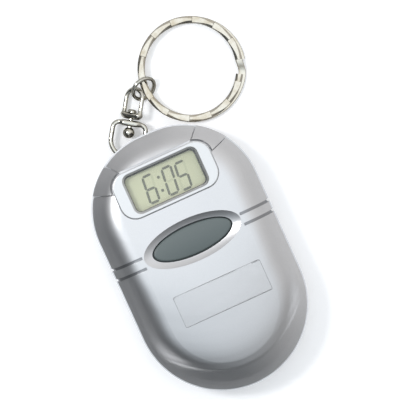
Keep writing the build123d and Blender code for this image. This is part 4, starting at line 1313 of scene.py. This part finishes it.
@dataclass
class Swivel(Assembly):
    """The bail, the stirrup and the rivet that joins them."""

    bail_origin: Point = (-4.5, 34.7, 3.1)
    axis: Point = (0.55557, 0.83147, 0.0)
    bail_wire: float = 1.2
    bail_radius: float = 4.2
    bail_reach: float = 4.3
    bail_corner: float = 1.6
    bar_section: Point = (1.6, 2.5, 2.8)
    bar_swell: Flat = (3.0, 1.7)
    bar_slack: float = 0.05
    foot_swell: Flat = (1.1, 0.35)
    arc_steps: int = 28
    side_steps: int = 6
    corner_steps: int = 8
    bar_steps: int = 14
    stirrup_low: float = 5.35
    stirrup_foot: float = 1.7
    stirrup_depth: float = 2.2
    stirrup_fullness: float = 2.3
    stirrup_wire: float = 1.05
    stirrup_radius: float = 2.55
    stirrup_corner: float = 0.9
    stirrup_length: float = 7.1
    stirrup_base: float = 6.0
    stirrup_roll: float = 38.0
    shank_radius: float = 0.6
    head_radius: float = 1.15
    head_high: float = 7.85
    dimple: float = 0.42
    knob: tuple[Flat, ...] = (
        (0.02, 0.45), (0.6, 0.58), (1.1, 0.92), (1.42, 1.4), (1.5, 1.9), (1.42, 2.4),
        (1.1, 2.88), (0.6, 3.2),
    )
    # The leans between which painted shade darkens the sides of the wires and of the rivet
    wire_painted_shade: Flat = (0.12, 0.6)
    rivet_painted_shade: Flat = (0.08, 0.5)

    def build(self) -> None:
        """Builds the three pieces with the forms that plain wire lacks."""
        place = Place(self.bail_origin, (self.axis[1], -self.axis[0], 0.0), self.axis)
        bail, stirrup = self.build_bail(place), self.build_stirrup(place)
        rivet = spun("rivet_turned", place, self.rivet_profile())
        for piece, body, node, tone in (
            (bail, "bail", "bail", self.wire_painted_shade),
            (stirrup, "swivel", "stirrup", self.wire_painted_shade),
            (rivet, "swivel", "swivel_rivet", self.rivet_painted_shade),
        ):
            # Painted shade on the piece's sides
            paint_side_shade(piece, *tone)
            self.wardrobe.dress_piece(piece, NICKEL, body, node)

    def loop_route(
        self, radius: float, middle: float, bar: float, corner: float
    ) -> list[Flat]:
        """The middle line of a loop with one round end and one bar with corners.

        Args:
            radius: half the loop's width.
            middle: the height of the round end's middle.
            bar: the height of the bar.
            corner: the radius of the bar's corners.

        Returns:
            The points in order round the loop.
        """
        sign = 1.0 if bar > middle else -1.0
        turns = [pi * step / self.arc_steps for step in range(self.arc_steps, -1, -1)]
        arc = [(radius * cos(turn), middle - sign * radius * sin(turn)) for turn in turns]
        run = sign * (abs(bar - middle) - corner)
        shares = [step / self.side_steps for step in range(1, self.side_steps)]
        side = [(radius, middle + run * share) for share in shares]
        half = radius - corner
        for step in range(self.corner_steps + 1):
            turn = pi / 2 * step / self.corner_steps
            side.append((half + corner * cos(turn), bar + sign * corner * (sin(turn) - 1)))
        shares = [step / self.bar_steps for step in range(1, self.bar_steps)]
        top = [(half - 2 * half * share, bar) for share in shares]
        return arc + side + top + [(-x, y) for x, y in reversed(side)]

    def swelled(self, wire: float, full: Point, share: float) -> Point:
        """A section that is round wire at share 0 and a full section at share 1."""
        return tuple(between(a, b, share) for a, b in zip((wire, wire, ROUND), full))

    def build_bail(self, place: Place) -> bpy.types.Object:
        """Builds the bail: round wire that swells to a pierced bar at the rivet."""
        route = self.loop_route(self.bail_radius, 0.0, self.bail_reach, self.bail_corner)
        sizes = []
        for x, y in route:
            on_bar = y > self.bail_reach - self.bar_slack
            share = smooth_step(*self.bar_swell, abs(x)) if on_bar else 0.0
            sizes.append(self.swelled(self.bail_wire, self.bar_section, share))
        return wire_loop("bail_wire", place, route, sizes)

    def build_stirrup(self, bail_place: Place) -> bpy.types.Object:
        """Builds the stirrup: a wire arch on a thick foot, rolled about the axis."""
        roll = radians(self.stirrup_roll)
        flat, up = Vector(bail_place.across), Vector((0.0, 0.0, 1.0))
        origin = bail_place.point(0.0, self.stirrup_base)
        place = Place(tuple(origin), tuple(flat * cos(roll) + up * sin(roll)), self.axis)
        foot = self.stirrup_low + self.stirrup_foot / 2 - self.stirrup_base
        route = self.loop_route(
            self.stirrup_radius,
            self.stirrup_length - self.stirrup_radius,
            foot,
            self.stirrup_corner,
        )
        full = (self.stirrup_foot, self.stirrup_depth, self.stirrup_fullness)
        shares = [smooth_step(*self.foot_swell, y - foot) for _, y in route]
        sizes = [self.swelled(self.stirrup_wire, full, share) for share in shares]
        return wire_loop("stirrup_wire", place, route, sizes)

    def rivet_profile(self) -> list[Flat]:
        """The rivet's profile: a round knob, the shank and a dimpled dome."""
        top = self.stirrup_low + self.stirrup_foot - 0.06
        high, wide, dimple = self.head_high, self.head_radius, self.dimple
        return [
            *self.knob,
            (self.shank_radius, top), (wide, top), (wide, top + 0.25),
            (0.93 * wide, top + 0.55), (0.72 * wide, high - 0.08), (dimple + 0.1, high),
            (dimple, high - 0.03), (dimple - 0.08, high - 0.4), (0.02, high - 0.45),
        ]


@dataclass
class JumpRing(Assembly):
    """The jump ring, wound as a coil of two turns."""

    coils: Tree
    centre: Point = (4.6071, 44.8210, 2.9623)
    across: Point = (0.9511, 0.3090, 0.0)
    along: Point = (-0.2185, 0.6725, 0.7071)
    turns: float = 1.94
    radius: float = 3.06
    rise: float = 0.6
    wire_width: float = 0.9
    wire_height: float = 0.66
    steps: int = 64
    sharp: float = 50.0
    # The leans between which painted shade darkens the coil's sides
    tone: Flat = (0.1, 0.5)

    def build(self) -> None:
        """Winds the coil and sets it where the CAD's ring is."""
        piece = linked("jump_ring_coil", bpy.data.meshes.new("jump_ring_coil"))
        self.coils.apply(
            piece,
            {
                "Turns": self.turns,
                "Radius": self.radius * MM,
                "Rise": self.rise * MM,
                "Wire width": self.wire_width * MM,
                "Wire height": self.wire_height * MM,
                "Steps a turn": self.steps,
                "Material": self.wardrobe.get(NICKEL),
            },
        )
        across, along = Vector(self.across).normalized(), Vector(self.along).normalized()
        turn = Matrix((across, along, across.cross(along))).transposed().to_4x4()
        shift = Matrix.Translation((0.0, 0.0, -self.rise / 2 * MM))
        piece.data.transform(Matrix.Translation(Vector(self.centre) * MM) @ turn @ shift)
        turn_outwards(piece.data)
        shade(piece.data, self.sharp)
        # Painted shade on the coil's sides
        paint_side_shade(piece, *self.tone)
        self.wardrobe.dress_piece(piece, NICKEL, "jump_ring", "jump_ring")


@dataclass
class KeyRing(Assembly):
    """The stamped split key ring: two turns of flat strip with scale-like facets."""

    centre: Point = (17.4375, 44.5196, 1.7468)
    lean: float = 3.809
    radius: float = 12.5
    half_width: float = 0.9
    half_height: float = 0.355
    level: float = 0.42
    splay: float = 0.38
    splay_way: Flat = (0.911, -0.413)
    facet_count: int = 14
    first_seam: float = -13.0
    seam: float = 0.0075
    crossing: float = 16.0
    facet_wide: float = 0.72
    facet_narrow: float = 0.32
    facet_edge: float = 0.14
    facet_sink: float = 0.06
    facet_steps: int = 9
    plain: float = 0.80
    plain_edge: float = 0.12
    bevel: float = 0.05
    belly: float = 0.02
    fall_from: float = 0.15
    sharp: float = 22.0
    # The leans between which painted shade darkens the strip's sides
    tone: Flat = (0.1, 0.55)

    def section(self, share: float, up: float) -> list[Flat]:
        """The strip's section at a share of the way along a facet.

        Args:
            share: how far along the facet, clockwise, from 0 to 1.
            up: 1 where the facet is on the upper face, 0 where on the lower.

        Returns:
            The section's points as distance outwards and height.
        """
        fall = smooth_step(self.fall_from, 1.0, share)
        w, h, b = self.half_width, self.half_height, self.bevel
        facet = (
            between(self.facet_wide, self.facet_narrow, fall),
            h - self.facet_sink * fall,
            between(self.facet_edge, -self.facet_edge, fall),
        )
        plain = (self.plain, h, h - self.plain_edge)
        (top_a, top_h, top_v), (low_a, low_h, low_v) = (
            [between(p, f, weight) for p, f in zip(plain, facet)] for weight in (up, 1 - up)
        )
        out = w + self.belly
        return [
            (w, -low_v), (out, (top_v - low_v) / 2), (w, top_v),
            (top_a + b, top_h - b), (top_a - b, top_h),
            (-top_a + b, top_h), (-top_a - b, top_h - b),
            (-w, top_v), (-out, (top_v - low_v) / 2), (-w, -low_v),
            (-low_a - b, -low_h + b), (-low_a + b, -low_h),
            (low_a - b, -low_h), (low_a + b, -low_h + b),
        ]

    def stations(self) -> list[Flat]:
        """The angles along the strip, clockwise, each with its share of a facet."""
        pitch = 360 / self.facet_count
        stops = []
        for number in range(2 * self.facet_count):
            for step in range(self.facet_steps + 1):
                share = step / self.facet_steps
                at = (number + (1 - 2 * self.seam) * share + self.seam) * pitch
                if at >= self.crossing:
                    stops.append((at, share))
        return stops

    def build(self) -> None:
        """Builds the strip: the upper turn, the crossing and the lower turn."""
        lean = radians(self.lean)
        place = Place(self.centre, (cos(lean), 0.0, -sin(lean)), (0.0, 1.0, 0.0))
        way_x, way_y = self.splay_way
        rings = []
        for at, share in self.stations():
            down = smooth_step(360.0, 360.0 + self.crossing, at)
            turn = radians(self.first_seam - at)
            height = between(self.level, -self.level, down)
            splay = down * self.splay * (1 + cos(turn) * way_x + sin(turn) * way_y)
            rings.append(
                [
                    place.point(
                        (self.radius + out) * cos(turn) + splay * way_x,
                        (self.radius + out) * sin(turn) + splay * way_y,
                        height + up,
                    )
                    for out, up in self.section(share, 1 - down)
                ]
            )
        strip = lofted("key_ring_strip", rings, closed=False, sharp=self.sharp)
        # Painted shade on the strip's sides
        paint_side_shade(strip, *self.tone)
        self.wardrobe.dress_piece(strip, STAMPED_NICKEL, "key_ring", "key_ring")


@dataclass
class Studio:
    """The pale floor, the lamp, the surroundings and the camera."""

    target: Point = (5.822, 13.577, 10.0)
    image_right: Point = (0.911, -0.413, 0.0)
    image_up: Point = (0.413, 0.911, 0.0)
    view_width: float = 100.0
    distance: float = 620.0
    tilt: float = 2.0
    tilt_heading: float = 140.0
    sensor: float = 36.0
    clip: Flat = (0.01, 10.0)
    floor_reach: float = 1.5
    floor_colour: Colour = (0.94, 0.94, 0.95)
    floor_roughness: float = 0.9
    floor_lift: float = 0.2
    bright_side: Flat = (0.6, 0.8)
    bright_from: float = -0.45
    bright_full: float = 0.85
    dark_ramp: tuple[Flat, ...] = (
        (0.0, 0.06), (0.3, 0.07), (0.55, 0.10), (0.68, 0.20), (0.80, 0.46), (0.90, 1.0),
        (0.97, 1.4), (1.0, 1.5),
    )
    dark_tint: Colour = (0.9, 1.0, 1.08)
    pale_ramp: tuple[Flat, ...] = (
        (0.0, 0.68), (0.3, 0.80), (0.5, 0.98), (0.63, 1.12), (0.74, 1.22), (0.84, 1.34),
        (1.0, 1.5),
    )
    pale_tint: Colour = (1.0, 1.0, 1.0)
    lamp_place: Point = (-190.0, 170.0, 410.0)
    lamp_size: float = 90.0
    lamp_power: float = 0.85

    def build(self) -> None:
        """Sets the camera, lays the floor and lights the clock."""
        self.set_camera()
        self.lay_floor()
        self.light()
        self.hang_lamp()

    def set_camera(self) -> None:
        """Sets the camera over the clock, as the photograph has it."""
        right, up = Vector(self.image_right).normalized(), Vector(self.image_up).normalized()
        heading, tilt = radians(self.tilt_heading), radians(self.tilt)
        lean = right * cos(heading) + up * sin(heading)
        back = (Vector((0, 0, 1)) * cos(tilt) + lean * sin(tilt)).normalized()
        right = up.cross(back).normalized()
        up = back.cross(right)
        data = bpy.data.cameras.new("camera")
        data.sensor_width = self.sensor
        data.lens = self.sensor * self.distance / self.view_width
        data.clip_start, data.clip_end = self.clip
        camera = linked("camera", data)
        turn = Matrix((right, up, back)).transposed().to_4x4()
        spot = Vector(self.target) * MM + back * self.distance * MM
        camera.matrix_world = Matrix.Translation(spot) @ turn
        bpy.context.scene.camera = camera

    def lay_floor(self) -> None:
        """Lays the pale floor, which stays white where no shadow falls."""
        mesh = bpy.data.meshes.new("floor")
        reach = self.floor_reach
        corners = [(-reach, -reach, 0), (reach, -reach, 0), (reach, reach, 0), (-reach, reach, 0)]
        mesh.from_pydata(corners, [], [(0, 1, 2, 3)])
        floor = linked("floor", mesh)
        paint = bpy.data.materials.new("floor_white")
        paint.use_nodes = True
        tree = paint.node_tree
        shader = tree.nodes["Principled BSDF"].inputs
        shader["Base Color"].default_value = opaque(self.floor_colour)
        shader["Roughness"].default_value = self.floor_roughness
        shader["Specular IOR Level"].default_value = 0.0
        ray = grown(tree, "ShaderNodeLightPath", {}).outputs
        seen = ray["Is Camera Ray"]
        for other in ("Is Glossy Ray", "Is Transmission Ray"):
            seen = maths(tree, "ADD", seen, ray[other])
        lift = maths(tree, "MULTIPLY", seen, self.floor_lift)
        shader["Emission Color"].default_value = (1.0, 1.0, 1.0, 1.0)
        tree.links.new(lift, shader["Emission Strength"])
        mesh.materials.append(paint)

    def light(self) -> None:
        """Sets the surroundings, dark on one side and pale on the other."""
        world = bpy.data.worlds.new("studio")
        bpy.context.scene.world = world
        world.use_nodes = True
        tree = world.node_tree
        way = grown(tree, "ShaderNodeTexCoord", {}).outputs["Generated"]
        height = split(tree, way)[2]
        right, up = Vector(self.image_right), Vector(self.image_up)
        side = (right * self.bright_side[0] + up * self.bright_side[1]).normalized()
        toward = grown(tree, "ShaderNodeVectorMath", {0: way, 1: side}, operation="DOT_PRODUCT")
        share = ranged(tree, toward.outputs["Value"], self.bright_from, self.bright_full)
        dark = self.ramp(tree, height, self.dark_ramp, self.dark_tint)
        pale = self.ramp(tree, height, self.pale_ramp, self.pale_tint)
        background = tree.nodes["Background"].inputs
        tree.links.new(mixed(tree, share, dark, pale), background["Color"])
        background["Strength"].default_value = 1.0

    def ramp(
        self,
        tree: bpy.types.NodeTree,
        height: bpy.types.NodeSocket,
        stops: Sequence[Flat],
        tint: Colour,
    ) -> bpy.types.NodeSocket:
        """A tinted brightness that follows a height from 0 to 1 by the given stops."""
        ramp = grown(tree, "ShaderNodeValToRGB", {0: height})
        elements = ramp.color_ramp.elements
        while len(elements) < len(stops):
            elements.new(0.5)
        for element, (place, value) in zip(elements, stops):
            element.position = place
            element.color = opaque([value * part for part in tint])
        return ramp.outputs[0]

    def hang_lamp(self) -> None:
        """Hangs one square soft lamp that faces the clock."""
        data = bpy.data.lights.new("key_lamp", "AREA")
        data.size = self.lamp_size * MM
        data.energy = self.lamp_power
        lamp = linked("key_lamp", data)
        lamp.location = Vector(self.lamp_place) * MM
        lamp.rotation_mode = "QUATERNION"
        facing = Vector(self.target) * MM - lamp.location
        lamp.rotation_quaternion = facing.to_track_quat("-Z", "Y")


def main() -> None:
    """Builds the studio, then each sub-assembly of the clock in order."""
    logging.basicConfig(level=logging.INFO, format="%(message)s")
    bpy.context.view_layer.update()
    bpy.context.scene.view_settings.view_transform = "Standard"
    Studio().build()
    wardrobe = Wardrobe()
    parts = (
        Case(wardrobe),
        Display(wardrobe, row_tree()),
        TalkControl(wardrobe),
        LabelFilm(wardrobe),
        Speaker(wardrobe),
        Swivel(wardrobe),
        JumpRing(wardrobe, coil_tree()),
        KeyRing(wardrobe),
        Electronics(wardrobe),
        Power(wardrobe),
    )
    for part in parts:
        part.build()
    for part in parts:
        part.dress()


if __name__ == "__main__":
    main()
